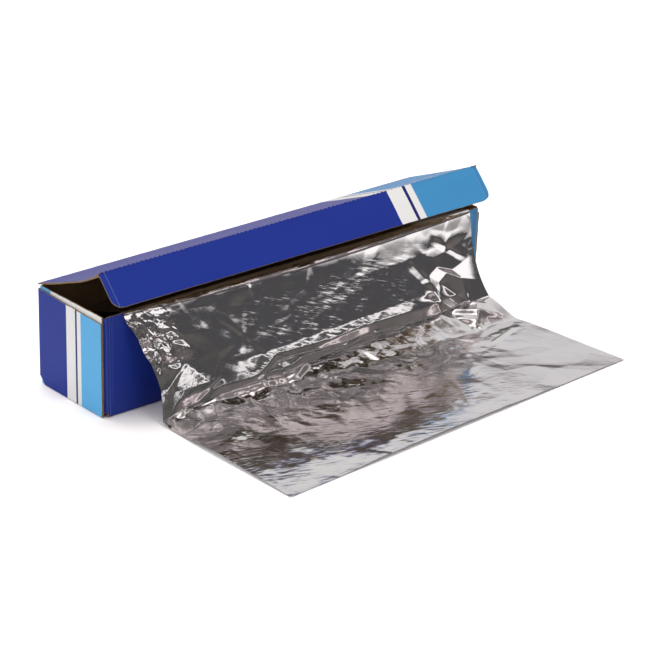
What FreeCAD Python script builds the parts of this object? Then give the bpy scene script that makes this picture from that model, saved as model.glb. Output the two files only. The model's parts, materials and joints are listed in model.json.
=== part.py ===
"""Foodservice foil carton with its roll: an 18 inch wide foil roll on a card
core, lying in a folded corrugated carton whose lid stands ajar, with the
first length of foil drawn out over the front wall and down to the table.

The frame: the origin is the centre of the carton's bottom, X runs along the
carton, Y to its back, Z up.  All sizes are in millimetres.
"""
import FreeCAD, Part
import Sketcher
import math
import os

doc = FreeCAD.newDocument("foil_carton")
V = FreeCAD.Vector

# Driving sizes
SIZES = (
    ("foil_width", 457.2, "width of the foil, 18 inches"),
    ("roll_diameter", 88.0, "wound foil, outside"),
    ("roll_play", 2.0, "clearance of the roll at each end of the carton"),
    ("roll_room", 8.4, "clearance of the roll in front of it and behind it"),
    ("roll_lift", 0.3, "clearance under the roll"),
    ("head_room", 15.1, "lid crease above the top of the roll"),
    ("front_drop", 0.8, "top of the front wall below the lid crease"),
    ("board", 1.6, "thickness of the fluted board"),
    ("fold_outer", 2.4, "outside radius of a folded edge"),
    ("fold_inner", 0.7, "inside radius of a folded edge"),
    ("end_fold", 1.4, "outside radius where a flap folds round an end"),
    ("glue_gap", 0.3, "glue line between the layers of an end"),
    ("outer_drop_back", 5.2, "outer end flap's top below the lid crease, at its fold"),
    ("outer_drop_front", 7.8, "outer end flap's top below the lid crease, at its free edge"),
    ("outer_flap_setback", 3.5, "free edge of the outer end flap from the front"),
    ("outer_flap_corner", 8.0, "cut corner of the outer end flap"),
    ("inner_drop_back", 2.2, "inner end flap's top below the lid crease, at the back"),
    ("inner_drop_front", 1.4, "inner end flap's top below the lid crease, at the front"),
    ("inner_flap_setback", 7.0, "front edge of the inner end flap from the front"),
    ("dust_flap_width", 62.0, "how far the dust flap reaches from the front wall"),
    ("dust_flap_drop", 22.0, "fall of the dust flap's slanted top edge"),
    ("lid_overhang", 4.0, "how much deeper the lid panel is than the carton"),
    ("lid_angle", 23.4, "how far the lid stands open"),
    ("lid_bow_left", 4.5, "how far the lid panel sags at its left end"),
    ("lid_bow_right", 0.8, "how far the lid panel sags at its right end"),
    ("mitre_angle", 46.0, "slope of the board's end at a crease"),
    ("crease_gap", 0.1, "clearance of the two boards at a crease"),
    ("flap_depth", 38.5, "front flap, fold to lower edge"),
    ("flap_angle", 68.0, "how far the front flap is folded down from the lid"),
    ("flap_corner", 11.0, "rounded lower corners of the front flap"),
    ("score_inset", 5.5, "score line from each end of the front flap"),
    ("score_width", 0.9, "width of a score line"),
    ("score_sunk", 0.35, "depth of a score line"),
    ("cutter_width", 14.0, "cutter strip, across"),
    ("cutter_sheet", 0.3, "thickness of the cutter strip"),
    ("cutter_inset", 0.8, "tooth tips from the flap's lower edge"),
    ("tooth_pitch", 4.0, "pitch of the cutter's teeth"),
    ("tooth_height", 3.0, "height of the cutter's teeth"),
    ("core_outside", 38.0, "card core, outside diameter"),
    ("core_inside", 32.0, "card core, bore"),
    ("core_fit", 0.05, "radial clearance of core and foil"),
    ("band_offset", 0.35, "how far one band of turns stands past the next"),
    ("web_thickness", 0.3, "stand-in thickness of the drawn foil"),
    ("web_clear", 0.35, "clearance of the drawn foil from roll and board"),
    ("bend_out_left", 2.0, "foil's bend in front of the wall, at its left edge"),
    ("bend_out_middle", 9.0, "foil's bend in front of the wall, in the middle"),
    ("bend_out_right", 1.5, "foil's bend in front of the wall, at its right edge"),
    ("bend_sink", 1.2, "fall of the foil over the bend"),
    ("bend_angle", 78.0, "how far the foil turns down over the bend"),
    ("wall_in_left", 16.0, "left edge's shift inwards where it crosses the wall"),
    ("wall_in_right", 5.0, "right edge's shift inwards where it crosses the wall"),
    ("foot_in_left", 28.6, "left edge's shift inwards at the foot fold"),
    ("foot_out_right", 4.0, "right edge's shift outwards at the foot fold"),
    ("belly_in_left", 10.5, "left edge's further shift inwards, half way down"),
    ("belly_in_right", 6.0, "right edge's further shift inwards, half way down"),
    ("foot_reach_left", 36.0, "foot fold from the front wall, left edge"),
    ("foot_reach_right", 25.0, "foot fold from the front wall, right edge"),
    ("nose_reach", 9.0, "how far the foot fold's left end stands out past the rest"),
    ("nose_width", 46.0, "width of that left end"),
    ("foot_height_left", 3.0, "foot fold above the table, left edge"),
    ("foot_height_right", 14.0, "foot fold above the table, right edge"),
    ("floor_in_left", 27.0, "left edge's shift inwards on the table"),
    ("floor_out_right", 9.0, "right edge's shift outwards on the table"),
    ("touch_left", 58.0, "where the foil comes to lie flat, left edge"),
    ("touch_right", 64.0, "where the foil comes to lie flat, right edge"),
    ("reach_left", 240.0, "foil's front edge from the carton, left corner"),
    ("reach_right", 202.0, "foil's front edge from the carton, right corner"),
    ("corner_in_left", 29.1, "front left corner's shift inwards"),
    ("web_crease", 0.35, "depth of the creases between roll and wall"),
    ("bend_crease", 0.5, "depth of the creases over the bend"),
    ("crumple", 2.6, "depth of the foil's creases on its hanging part"),
    ("ripple", 2.2, "height of the foil's ripples on the table"),
)

sheet = doc.addObject("Spreadsheet::Sheet", "Sizes")
for row, (alias, value, note) in enumerate(SIZES, start=1):
    sheet.set("A%d" % row, note)
    sheet.set("B%d" % row, "%g" % value)
    sheet.setAlias("B%d" % row, alias)
doc.recompute()


def size(text):
    """Value of an expression in the sheet's aliases, such as {board} * 2."""
    return float(sheet.evalExpression(text.format(**NAMES)))


def bind(text):
    """The same expression as the document writes it."""
    return text.format(**NAMES)


NAMES = {alias: "Sizes.%s" % alias for alias, value, note in SIZES}
NAMES["layer"] = "(Sizes.board + Sizes.glue_gap)"
NAMES["half"] = ("(Sizes.foil_width / 2 + Sizes.roll_play + 3 * Sizes.board"
                 " + 2 * Sizes.glue_gap)")
NAMES["back"] = "(Sizes.roll_diameter / 2 + Sizes.roll_room + Sizes.board)"
NAMES["front"] = "(-%s)" % NAMES["back"]
NAMES["roll_z"] = "(Sizes.board + Sizes.roll_lift + Sizes.roll_diameter / 2)"
NAMES["crease_height"] = "(%s + Sizes.roll_diameter / 2 + Sizes.head_room)" % NAMES["roll_z"]
NAMES["front_height"] = "(%s - Sizes.front_drop)" % NAMES["crease_height"]
NAMES["lid_depth"] = "(2 * %s + Sizes.lid_overhang)" % NAMES["back"]
NAMES["slope"] = "tan(Sizes.mitre_angle * 1 deg)"
for layer_name in ("outer", "inner"):
    for end_name in ("back", "front"):
        NAMES["%s_flap_%s" % (layer_name, end_name)] = "(%s - Sizes.%s_drop_%s)" % (
            NAMES["crease_height"], layer_name, end_name)


def plane(body, role):
    """One of a body's own origin planes, such as YZ_Plane."""
    for feature in body.Origin.OriginFeatures:
        if feature.Role == role:
            return feature
    raise ValueError("no plane " + role)


def outline(body, name, role, corners, offset="0"):
    """A closed polygon sketch whose corners are bound to the sheet."""
    sketch = body.newObject("Sketcher::SketchObject", name)
    sketch.AttachmentSupport = [(plane(body, role), "")]
    sketch.MapMode = "FlatFace"
    sketch.setExpression("AttachmentOffset.Base.z", bind(offset))
    points = [V(size(across), size(up), 0) for across, up in corners]
    for index, point in enumerate(points):
        following = points[(index + 1) % len(points)]
        sketch.addGeometry(Part.LineSegment(point, following), False)
    count = len(points)
    for index in range(count):
        sketch.addConstraint(Sketcher.Constraint("Coincident", index, 2, (index + 1) % count, 1))
    for index, (across, up) in enumerate(corners):
        for kind, text, value in (("DistanceX", across, points[index].x),
                                  ("DistanceY", up, points[index].y)):
            number = sketch.addConstraint(Sketcher.Constraint(kind, -1, 1, index, 1, value))
            sketch.setExpression("Constraints[%d]" % number, bind(text))
    return sketch


def circles(body, name, role, diameters):
    """A sketch of rings about the origin."""
    sketch = body.newObject("Sketcher::SketchObject", name)
    sketch.AttachmentSupport = [(plane(body, role), "")]
    sketch.MapMode = "FlatFace"
    for text in diameters:
        ring = sketch.addGeometry(Part.Circle(V(0, 0, 0), V(0, 0, 1), size(text) / 2), False)
        sketch.addConstraint(Sketcher.Constraint("Coincident", ring, 3, -1, 1))
        number = sketch.addConstraint(Sketcher.Constraint("Diameter", ring, size(text)))
        sketch.setExpression("Constraints[%d]" % number, bind(text))
    return sketch


def pad(body, sketch, length, midplane=False, reverse=False):
    """A pad of a sketch, its length bound to the sheet."""
    feature = body.newObject("PartDesign::Pad", sketch.Name + "_pad")
    feature.Profile = sketch
    feature.setExpression("Length", bind(length))
    if midplane:
        feature.SideType = "Symmetric"
    feature.Reversed = reverse
    doc.recompute()
    return feature


def pocket(body, sketch, length, reverse=False):
    """A pocket of a sketch, which has to take material away."""
    before = body.Shape.Volume
    feature = body.newObject("PartDesign::Pocket", sketch.Name + "_pocket")
    feature.Profile = sketch
    feature.setExpression("Length", bind(length))
    feature.Reversed = reverse
    doc.recompute()
    if body.Shape.Volume >= before:
        raise RuntimeError(feature.Name + " cuts nothing")
    return feature


def edges_where(shape, direction, test):
    """Names of a shape's edges that run one way and whose two ends pass a test."""
    found = []
    for number, edge in enumerate(shape.Edges, start=1):
        ends = [vertex.Point for vertex in edge.Vertexes]
        if len(ends) == 2 and all(test(point) for point in ends):
            if (ends[1] - ends[0]).cross(direction).Length < 1e-3:
                found.append("Edge%d" % number)
    return found


def fillet(body, base, name, radius, direction, test):
    """A fillet on the edges of a feature that run one way and pass a test."""
    feature = body.newObject("PartDesign::Fillet", name)
    feature.Base = (base, edges_where(base.Shape, direction, test))
    feature.setExpression("Radius", bind(radius))
    doc.recompute()
    if "Invalid" in feature.State:
        raise RuntimeError(name + " could not be made")
    return feature


def near(first, second):
    """Whether two lengths are the same."""
    return abs(first - second) < 1e-4


def mirror(body, name, features):
    """Copies features of a body to its other end."""
    feature = body.newObject("PartDesign::Mirrored", name)
    feature.Originals = features
    feature.MirrorPlane = (plane(body, "YZ_Plane"), [""])
    body.Tip = feature
    doc.recompute()
    return feature


def new_body(label):
    """An empty body with the sub-part's name."""
    body = doc.addObject("PartDesign::Body", label)
    body.Label = label
    return body


def make_carton():
    """The carton, folded from one sheet of board, without its lid.

    A wrap of front wall, bottom and back wall, and at each end three glued
    layers: a dust flap from the front wall, an inner flap from the bottom and
    an outer flap from the back wall.
    """
    body = new_body("carton")
    wrap = outline(body, "wrap", "YZ_Plane", (
        ("{front}", "{front_height}"), ("{front}", "0"), ("{back}", "0"),
        ("{back}", "{crease_height} - {crease_gap} / 2"),
        ("{back} - {board}", "{crease_height} - {crease_gap} / 2 - {board} * {slope}"),
        ("{back} - {board}", "{board}"), ("{front} + {board}", "{board}"),
        ("{front} + {board}", "{front_height}")))
    wrap_pad = pad(body, wrap, "2 * {half} - 4 * {layer} - 2 * {board}", midplane=True)
    depth, board = size("2 * {back}"), size("{board}")
    outer = fillet(body, wrap_pad, "outer_folds", "{fold_outer}", V(1, 0, 0),
                   lambda p: near(abs(p.y), depth / 2) and near(p.z, 0))
    inner = fillet(body, outer, "inner_folds", "{fold_inner}", V(1, 0, 0),
                   lambda p: near(abs(p.y), depth / 2 - board) and near(p.z, board))
    body.Tip = inner
    dust = outline(body, "dust_flap", "YZ_Plane", (
        ("{front}", "2 * {fold_outer}"), ("{front} + 2 * {fold_outer}", "{layer}"),
        ("{front} + {dust_flap_width}", "{layer}"),
        ("{front} + {dust_flap_width}", "{front_height} - {dust_flap_drop}"),
        ("{front} + 2 * {board}", "{front_height} - {board}"),
        ("{front}", "{front_height}")), "-{half} + 2 * {layer}")
    dust_pad = pad(body, dust, "{board}")
    floor = outline(body, "floor_tongue", "YZ_Plane", (
        ("{front} + {fold_outer}", "0"), ("{back} - {fold_outer}", "0"),
        ("{back} - {fold_outer}", "{board}"), ("{front} + {fold_outer}", "{board}")),
        "-{half} + {layer}")
    floor_pad = pad(body, floor, "{layer} + {board}")
    inner_flap = outline(body, "inner_flap", "YZ_Plane", (
        ("{front} + {inner_flap_setback}", "0"), ("{back} - {layer}", "0"),
        ("{back} - {layer}", "{inner_flap_back}"),
        ("{front} + {inner_flap_setback}", "{inner_flap_front}")), "-{half} + {layer}")
    inner_pad = pad(body, inner_flap, "{board}")
    back_tongue = outline(body, "back_tongue", "YZ_Plane", (
        ("{back} - {board}", "{outer_flap_corner}"), ("{back}", "{outer_flap_corner}"),
        ("{back}", "{outer_flap_back}"), ("{back} - {board}", "{outer_flap_back}")),
        "-{half}")
    back_pad = pad(body, back_tongue, "2 * {layer} + {board}")
    outer_flap = outline(body, "outer_flap", "YZ_Plane", (
        ("{front} + {outer_flap_setback}", "0"), ("{back} - {outer_flap_corner}", "0"),
        ("{back}", "{outer_flap_corner}"), ("{back}", "{outer_flap_back}"),
        ("{front} + {outer_flap_setback}", "{outer_flap_front}")), "-{half}")
    outer_pad = pad(body, outer_flap, "{board}")
    mirror(body, "other_end", [dust_pad, floor_pad, inner_pad, back_pad, outer_pad])
    half, layer = size("{half}"), size("{layer}")
    ends = body.Tip
    rounded = fillet(body, ends, "end_folds", "{end_fold}", V(0, 0, 1), lambda p: (
        (near(abs(p.x), half) and near(p.y, depth / 2)
         and p.z >= size("{outer_flap_corner}") - 1e-4)
        or (near(abs(p.x), half - 2 * layer) and near(p.y, -depth / 2))))
    body.Tip = rounded
    return body


def crease_point(along, height):
    """A point in the lid's side view, turned and moved to the lid's place."""
    turn = math.radians(size("{lid_angle}"))
    y = size("{back}") - along * math.cos(turn) + height * math.sin(turn)
    z = size("{crease_height}") + along * math.sin(turn) + height * math.cos(turn)
    return y, z


def make_lid_panel():
    """The lid panel: board that sags at its left end and lies true at its right."""
    depth, board, gap = size("{lid_depth}"), size("{board}"), size("{crease_gap}") / 2
    slope = size("{slope}")
    half = size("{half}")

    def ribbon(x, bow):
        """Closed side view of the panel at one end."""
        shares = ((0.0, 0.0), (0.36, 0.62), (0.72, 1.0), (0.9, 0.58), (1.0, 0.0))
        cut = board * slope

        def face(height, start, end):
            """The panel's upper or lower line, as a spline."""
            points = []
            for share, sag in shares:
                along = start + share * (end - start)
                y, z = crease_point(along, height - sag * bow)
                points.append(V(x, y, z))
            curve = Part.BSplineCurve()
            curve.interpolate(points)
            return curve.toShape(), points

        upper, top = face(0.0, gap, depth - gap)
        lower, under = face(-board, gap + cut, depth - gap - cut)
        lower.reverse()
        return Part.Wire([upper, Part.makeLine(top[-1], under[-1]), lower,
                          Part.makeLine(under[0], top[0])])

    sections = [ribbon(-half, size("{lid_bow_left}")), ribbon(half, size("{lid_bow_right}"))]
    panel = doc.addObject("Part::Feature", "lid_panel")
    panel.Label = "lid_panel"
    panel.Shape = Part.makeLoft(sections, True, True)
    return panel


def place_on_flap(body):
    """Puts a body made flat, front fold on its X axis, at the lid's front fold."""
    body.Placement.Rotation = FreeCAD.Rotation(V(1, 0, 0), 0)
    body.setExpression("Placement.Base.y", bind("{back} - {lid_depth} * cos({lid_angle} * 1 deg)"))
    body.setExpression("Placement.Base.z",
                       bind("{crease_height} + {lid_depth} * sin({lid_angle} * 1 deg)"))
    body.Placement.Rotation.Axis = V(1, 0, 0)
    body.setExpression("Placement.Rotation.Angle", bind("({flap_angle} - {lid_angle}) * 1 deg"))


def make_lid_flap():
    """The front flap: straight board with rounded lower corners and two scores.

    It is drawn lying forwards of its fold, its printed face up at height 0.
    """
    body = new_body("lid_flap")
    side = outline(body, "flap_side", "YZ_Plane", (
        ("-{crease_gap} / 2", "0"), ("-{flap_depth}", "0"), ("-{flap_depth}", "-{board}"),
        ("-{crease_gap} / 2 - {board} * {slope}", "-{board}")))
    slab = pad(body, side, "2 * {half}", midplane=True)
    half, depth = size("{half}"), size("{flap_depth}")
    corners = fillet(body, slab, "flap_corners", "{flap_corner}", V(0, 0, 1),
                     lambda p: near(abs(p.x), half) and near(p.y, -depth))
    body.Tip = corners
    score = outline(body, "score", "XY_Plane", (
        ("-{half} + {score_inset}", "-{board} * 2"),
        ("-{half} + {score_inset} + {score_width}", "-{board} * 2"),
        ("-{half} + {score_inset} + {score_width}", "-{flap_depth} + {flap_corner} / 2"),
        ("-{half} + {score_inset}", "-{flap_depth} + {flap_corner} / 2")))
    groove = pocket(body, score, "{score_sunk}")
    mirror(body, "other_score", [groove])
    place_on_flap(body)
    return body


def make_cutter_strip():
    """The serrated tin strip on the inner face of the front flap."""
    body = new_body("cutter_strip")
    low = "-{flap_depth} + {cutter_inset}"
    strip = outline(body, "strip", "XY_Plane", (
        ("-{foil_width} / 2", low + " + {cutter_width}"), ("-{foil_width} / 2", low),
        ("{foil_width} / 2", low), ("{foil_width} / 2", low + " + {cutter_width}")),
        "-{board}")
    plate = pad(body, strip, "{cutter_sheet}", reverse=True)
    notch = outline(body, "notch", "XY_Plane", (
        ("-{foil_width} / 2", low + " - {board}"),
        ("-{foil_width} / 2 + {tooth_pitch}", low + " - {board}"),
        ("-{foil_width} / 2 + {tooth_pitch}", low),
        ("-{foil_width} / 2 + {tooth_pitch} / 2", low + " + {tooth_height}"),
        ("-{foil_width} / 2", low)), "-{board}")
    cut = pocket(body, notch, "2 * {cutter_sheet}")
    teeth = body.newObject("PartDesign::LinearPattern", "teeth")
    teeth.Originals = [cut]
    teeth.Direction = (strip, ["H_Axis"])
    teeth.setExpression("Occurrences", bind("floor({foil_width} / {tooth_pitch})"))
    teeth.setExpression("Length", bind(
        "(floor({foil_width} / {tooth_pitch}) - 1) * {tooth_pitch}"))
    body.Tip = teeth
    doc.recompute()
    place_on_flap(body)
    return body


def make_roll_core():
    """The card core, a plain tube."""
    body = new_body("roll_core")
    rings = circles(body, "core_rings", "YZ_Plane", ("{core_outside}", "{core_inside}"))
    pad(body, rings, "{foil_width}", midplane=True)
    body.setExpression("Placement.Base.z", bind("{roll_z}"))
    return body


def make_foil_roll():
    """The wound foil: bands of turns that stand a little past each other."""
    body = new_body("foil_roll")
    bands = 6
    inside = "{core_outside} / 2 + {core_fit}"
    band = "(({roll_diameter} / 2 - %s) / %d)" % (inside, bands)
    right = []
    for number in range(bands):
        step = "{band_offset} * %d" % (number % 2)
        for edge in (number, number + 1):
            right.append(("{foil_width} / 2 - " + step, inside + " + %s * %d" % (band, edge)))
    left = [("-(%s)" % across, up) for across, up in reversed(right)]
    profile = outline(body, "turns", "XZ_Plane", tuple(right + left))
    spin = body.newObject("PartDesign::Revolution", "wound")
    spin.Profile = profile
    spin.ReferenceAxis = (profile, ["H_Axis"])
    spin.Angle = 360
    body.Tip = spin
    doc.recompute()
    body.setExpression("Placement.Base.z", bind("{roll_z}"))
    return body


def across(share, left, middle, right):
    """Smooth run through three values at the left edge, middle and right edge."""
    return (left * (1 - share) * (1 - 2 * share) + middle * 4 * share * (1 - share)
            + right * share * (2 * share - 1))


def noise(row, column):
    """Repeatable crease height between -1 and 1."""
    wave = math.sin(row * 12.9898 + column * 78.233) * 43758.5453
    return 2 * (wave - math.floor(wave)) - 1


def smooth(share):
    """Eased step from 0 to 1."""
    return share * share * (3 - 2 * share)


def mix(first, second, share):
    """Value between two others."""
    return first + (second - first) * share


# Shape of the drawn foil that no length sets
BEND_FALL = 0.55
HANG_CURVE = 1.15
BELLY_CURVE = 1.3
SHIFT_SHARE = 1 / 3
GRIP_SHARE = 0.4
SETTLE_SHARE = 0.4
EDGE_GAIN = 0.8
SWELL_ACROSS, SWELL_ALONG = 9.0, 5.0
RIDGE_ACROSS, RIDGE_ALONG = 11.0, 7.0
JITTER_SHARE = 0.9
STEP = 0.02


class DrawnFoil:
    """Places of the drawn foil, from the roll over the wall to its front edge."""

    def __init__(self):
        self.sizes = {alias: size("{%s}" % alias) for alias, value, note in SIZES}
        self.front = size("{front}")
        self.half = self.sizes["foil_width"] / 2
        self.top = size("{front_height}") + self.sizes["web_clear"]
        self.front_width = math.sqrt((2 * self.half) ** 2 - (
            self.sizes["reach_left"] - self.sizes["reach_right"]) ** 2)
        self.tangent = self.find_tangent()

    def find_tangent(self):
        """Where the web leaves the roll on its way to the front wall's top."""
        centre_y, centre_z = 0.0, size("{roll_z}")
        radius = self.sizes["roll_diameter"] / 2 + self.sizes["web_clear"]
        edge_y, edge_z = self.front + self.sizes["board"], self.top
        reach = math.hypot(centre_y - edge_y, centre_z - edge_z)
        bearing = math.atan2(centre_z - edge_z, centre_y - edge_y)
        turn = bearing + math.asin(radius / reach)
        length = math.sqrt(reach ** 2 - radius ** 2)
        return edge_y + length * math.cos(turn), edge_z + length * math.sin(turn)

    def edges(self, share, name):
        """Value between the sizes of the left and the right edge."""
        return mix(self.sizes[name + "_left"], self.sizes[name + "_right"], share)

    def foot_reach(self, share):
        """How far the foot fold is in front of the wall."""
        s = self.sizes
        nose = max(0.0, 1 - share * s["foil_width"] / s["nose_width"])
        return self.edges(share, "foot_reach") + s["nose_reach"] * nose ** 2

    def web(self, share, part):
        """A place between the roll and the front wall's top."""
        s = self.sizes
        x_roll = mix(-self.half, self.half, share)
        x_wall = mix(-self.half + s["wall_in_left"], self.half - s["wall_in_right"], share)
        return V(mix(x_roll, x_wall, part),
                 mix(self.tangent[0], self.front + s["board"], part),
                 mix(self.tangent[1], self.top, part))

    def bend(self, share, part):
        """A place where the foil turns down over the front wall."""
        s = self.sizes
        out = across(share, s["bend_out_left"], s["bend_out_middle"], s["bend_out_right"])
        angle = part * math.radians(s["bend_angle"])
        start = self.web(share, 1.0)
        y = start.y - (s["board"] + out) * math.sin(angle)
        z = start.z - (out * BEND_FALL + s["bend_sink"]) * (1 - math.cos(angle))
        return V(start.x, y, z)

    def hang(self, share, part):
        """A place on the foil that hangs in front of the wall."""
        s = self.sizes
        start = self.bend(share, 1.0)
        x_foot = mix(-self.half + s["foot_in_left"], self.half + s["foot_out_right"], share)
        foot_up = mix(s["foot_height_left"], s["foot_height_right"], smooth(share))
        y = mix(start.y, self.front - self.foot_reach(share), part ** HANG_CURVE)
        curved = part ** BELLY_CURVE
        belly = mix(s["belly_in_left"], -s["belly_in_right"], share) * 4 * curved * (1 - curved)
        return V(mix(start.x, x_foot, part) + belly, y, mix(start.z, foot_up, part))

    def lie(self, share, part):
        """A place on the foil that lies on the table."""
        s = self.sizes
        start = self.hang(share, 1.0)
        foot, reach = self.foot_reach(share), self.edges(share, "reach")
        flat = (self.edges(share, "touch") - foot) / (reach - foot)
        x_floor = mix(-self.half + s["floor_in_left"], self.half + s["floor_out_right"], share)
        x_front = -self.half + s["corner_in_left"] + self.front_width * share
        x = mix(start.x, x_floor, smooth(min(part / SHIFT_SHARE, 1.0)))
        z = start.z * (1 - smooth(min(part / flat, 1.0)))
        return V(mix(x, x_front, part), mix(start.y, self.front - reach, part), z)

    def station(self, share, run):
        """A place on the smooth sheet: share across it, run 0 to 4 along it."""
        stage = min(int(run), 3)
        return (self.web, self.bend, self.hang, self.lie)[stage](share, run - stage)

    def creases(self, share, run, jitter):
        """How far the crumpled sheet stands off the smooth one."""
        s = self.sizes
        if run <= 1:
            return s["web_crease"] * (jitter + 1) * run
        if run <= 2:
            return s["bend_crease"] * (jitter + 1) * (GRIP_SHARE + share * (1 - share))
        if run <= 3:
            edge = 1 + EDGE_GAIN * abs(2 * share - 1) ** 3
            swell = 0.5 + 0.5 * math.cos(SWELL_ACROSS * share + SWELL_ALONG * (run - 2))
            start = smooth(min((run - 2) / GRIP_SHARE, 1.0))
            return s["crumple"] * (JITTER_SHARE * jitter + swell + GRIP_SHARE) * edge * start
        fade = 1 - smooth(min((run - 3) / SETTLE_SHARE, 1.0))
        ridge = 0.5 + 0.5 * math.cos(RIDGE_ACROSS * share + RIDGE_ALONG * (run - 3))
        ripple = s["ripple"] * ridge * (1 + JITTER_SHARE * jitter) / 3
        return s["crumple"] * (jitter + 1) * fade + ripple * (1 - fade)

    def surface(self, columns, rows):
        """Grid of points on the sheet's middle: rows along it, columns across."""
        grid = []
        for row, run in enumerate(rows):
            line = []
            for column in range(columns + 1):
                share = column / columns
                ahead = self.station(share, min(run + STEP, 4.0))
                behind = self.station(share, max(run - STEP, 0.0))
                direction = ahead - behind
                off = V(0, direction.z, -direction.y).normalize()
                lift = self.creases(share, run, noise(row, column))
                point = self.station(share, run) + off * lift
                point.z = max(point.z, self.sizes["web_thickness"] / 2)
                line.append(point)
            grid.append(line)
        return grid


def grid_normal(grid, row, column):
    """Upward normal of a grid of points at one of them."""
    last_row, last_column = len(grid) - 1, len(grid[0]) - 1
    down = grid[min(row + 1, last_row)][column] - grid[max(row - 1, 0)][column]
    side = grid[row][min(column + 1, last_column)] - grid[row][max(column - 1, 0)]
    return side.cross(down).normalize() * -1


def thin_solid(grid, thickness):
    """A closed faceted solid of even thickness about a grid of points."""
    rows, columns = len(grid), len(grid[0])
    upper, lower = [], []
    for row in range(rows):
        for column in range(columns):
            normal = grid_normal(grid, row, column) * (thickness / 2)
            high = grid[row][column] + normal
            low = grid[row][column] - normal
            low.z = max(low.z, 0.0)
            high.z = max(high.z, low.z + thickness / 2)
            upper.append(high)
            lower.append(low)
    count = rows * columns

    def at(row, column):
        """Number of a grid point."""
        return row * columns + column

    facets = []
    for row in range(rows - 1):
        for column in range(columns - 1):
            a, b = at(row, column), at(row, column + 1)
            c, d = at(row + 1, column + 1), at(row + 1, column)
            if noise(row + 3, column + 7) > 0:
                pieces = ((a, b, c), (a, c, d))
            else:
                pieces = ((a, b, d), (b, c, d))
            for first, second, third in pieces:
                facets.append((first, third, second))
                facets.append((first + count, second + count, third + count))
    rim = [at(0, column) for column in range(columns)]
    rim += [at(row, columns - 1) for row in range(1, rows)]
    rim += [at(rows - 1, column) for column in range(columns - 2, -1, -1)]
    rim += [at(row, 0) for row in range(rows - 2, 0, -1)]
    for index, first in enumerate(rim):
        second = rim[(index + 1) % len(rim)]
        facets.append((first, second, second + count))
        facets.append((first, second + count, first + count))
    shell = Part.Shape()
    shell.makeShapeFromMesh((upper + lower, facets), 1e-5)
    solid = Part.Solid(Part.Shell(shell.Faces))
    if solid.Volume < 0:
        solid.reverse()
    return solid


def make_foil_sheet():
    """The drawn length of foil as a thin faceted solid."""
    columns = 28
    rows = [0.0, 0.25, 0.5, 0.75, 1.0]
    rows += [1 + step / 5 for step in range(1, 6)]
    rows += [2 + step / 9 for step in range(1, 10)]
    rows += [3 + step / 13 for step in range(1, 14)]
    foil = DrawnFoil()
    sheet_part = doc.addObject("Part::Feature", "foil_sheet")
    sheet_part.Label = "foil_sheet"
    sheet_part.Shape = thin_solid(foil.surface(columns, rows), size("{web_thickness}"))
    return sheet_part


parts = [make_carton(), make_lid_panel(), make_lid_flap(), make_cutter_strip(),
         make_roll_core(), make_foil_roll(), make_foil_sheet()]
doc.recompute()

faults = []
for item in doc.Objects:
    if "Invalid" in item.State or "Error" in item.State:
        faults.append(item.Name)
for part in parts:
    if part.Shape.isNull() or not part.Shape.isValid() or len(part.Shape.Solids) != 1:
        faults.append(part.Label + " shape")
if faults:
    raise RuntimeError("not built: " + ", ".join(faults))

os.makedirs("parts", exist_ok=True)
for part in parts:
    part.Shape.exportStep("parts/%s.step" % part.Label)
    box = part.Shape.BoundBox
    print("%-14s volume %10.1f  x %7.1f %7.1f  y %7.1f %7.1f  z %7.1f %7.1f" % (
        part.Label, part.Shape.Volume, box.XMin, box.XMax, box.YMin, box.YMax, box.ZMin, box.ZMax))
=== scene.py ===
"""Dressed model of a foil carton with its lid ajar and the foil drawn out.

The carton is folded from printed fluted board.  A wide roll of aluminium foil
lies in it, and the first length of foil hangs over the front wall and lies on
the table.  Lengths are in metres, X along the carton, -Y to its front, Z up.
"""
from __future__ import annotations

import json
import logging
import math
from dataclasses import dataclass
from enum import Enum
from typing import Callable

import bmesh
import bpy
import numpy as np
from mathutils import Matrix, Vector, noise
from mathutils.geometry import delaunay_2d_cdt


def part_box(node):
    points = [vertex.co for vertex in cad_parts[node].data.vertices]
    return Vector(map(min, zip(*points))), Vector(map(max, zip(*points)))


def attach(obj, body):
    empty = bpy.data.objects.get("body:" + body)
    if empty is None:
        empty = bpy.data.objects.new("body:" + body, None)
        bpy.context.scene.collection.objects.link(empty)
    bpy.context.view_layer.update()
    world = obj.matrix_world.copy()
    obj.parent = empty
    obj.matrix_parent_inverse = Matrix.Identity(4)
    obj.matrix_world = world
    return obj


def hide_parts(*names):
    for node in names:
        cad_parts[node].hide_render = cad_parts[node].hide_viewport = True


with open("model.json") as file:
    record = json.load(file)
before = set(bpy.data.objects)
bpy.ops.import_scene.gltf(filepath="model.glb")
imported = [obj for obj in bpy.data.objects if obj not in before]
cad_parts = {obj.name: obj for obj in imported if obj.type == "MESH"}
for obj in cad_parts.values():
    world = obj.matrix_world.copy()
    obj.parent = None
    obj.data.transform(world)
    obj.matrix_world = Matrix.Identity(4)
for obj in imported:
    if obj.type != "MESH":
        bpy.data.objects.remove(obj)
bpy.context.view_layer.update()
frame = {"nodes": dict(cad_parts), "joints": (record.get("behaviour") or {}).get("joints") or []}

LOG = logging.getLogger("foil_carton")
MM = 0.001
FLUTE_PITCH = 3.3 * MM
INSIDE = Vector((0.0, 0.0, 0.05))

Colour = tuple[float, float, float]
Pair = tuple[float, float]
Place = Callable[[float, float], Vector]
Field = Callable[[float, float], float]


def clamp(value: float, low: float = 0.0, high: float = 1.0) -> float:
    """Returns the value held between two limits."""
    return max(low, min(high, value))


def mix(first: float, second: float, share: float) -> float:
    """Returns the value at a share of the way between two others."""
    return first + (second - first) * share


def ease(share: float) -> float:
    """Returns a share eased in and out, held between 0 and 1."""
    held = clamp(share)
    return held * held * (3 - 2 * held)


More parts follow.
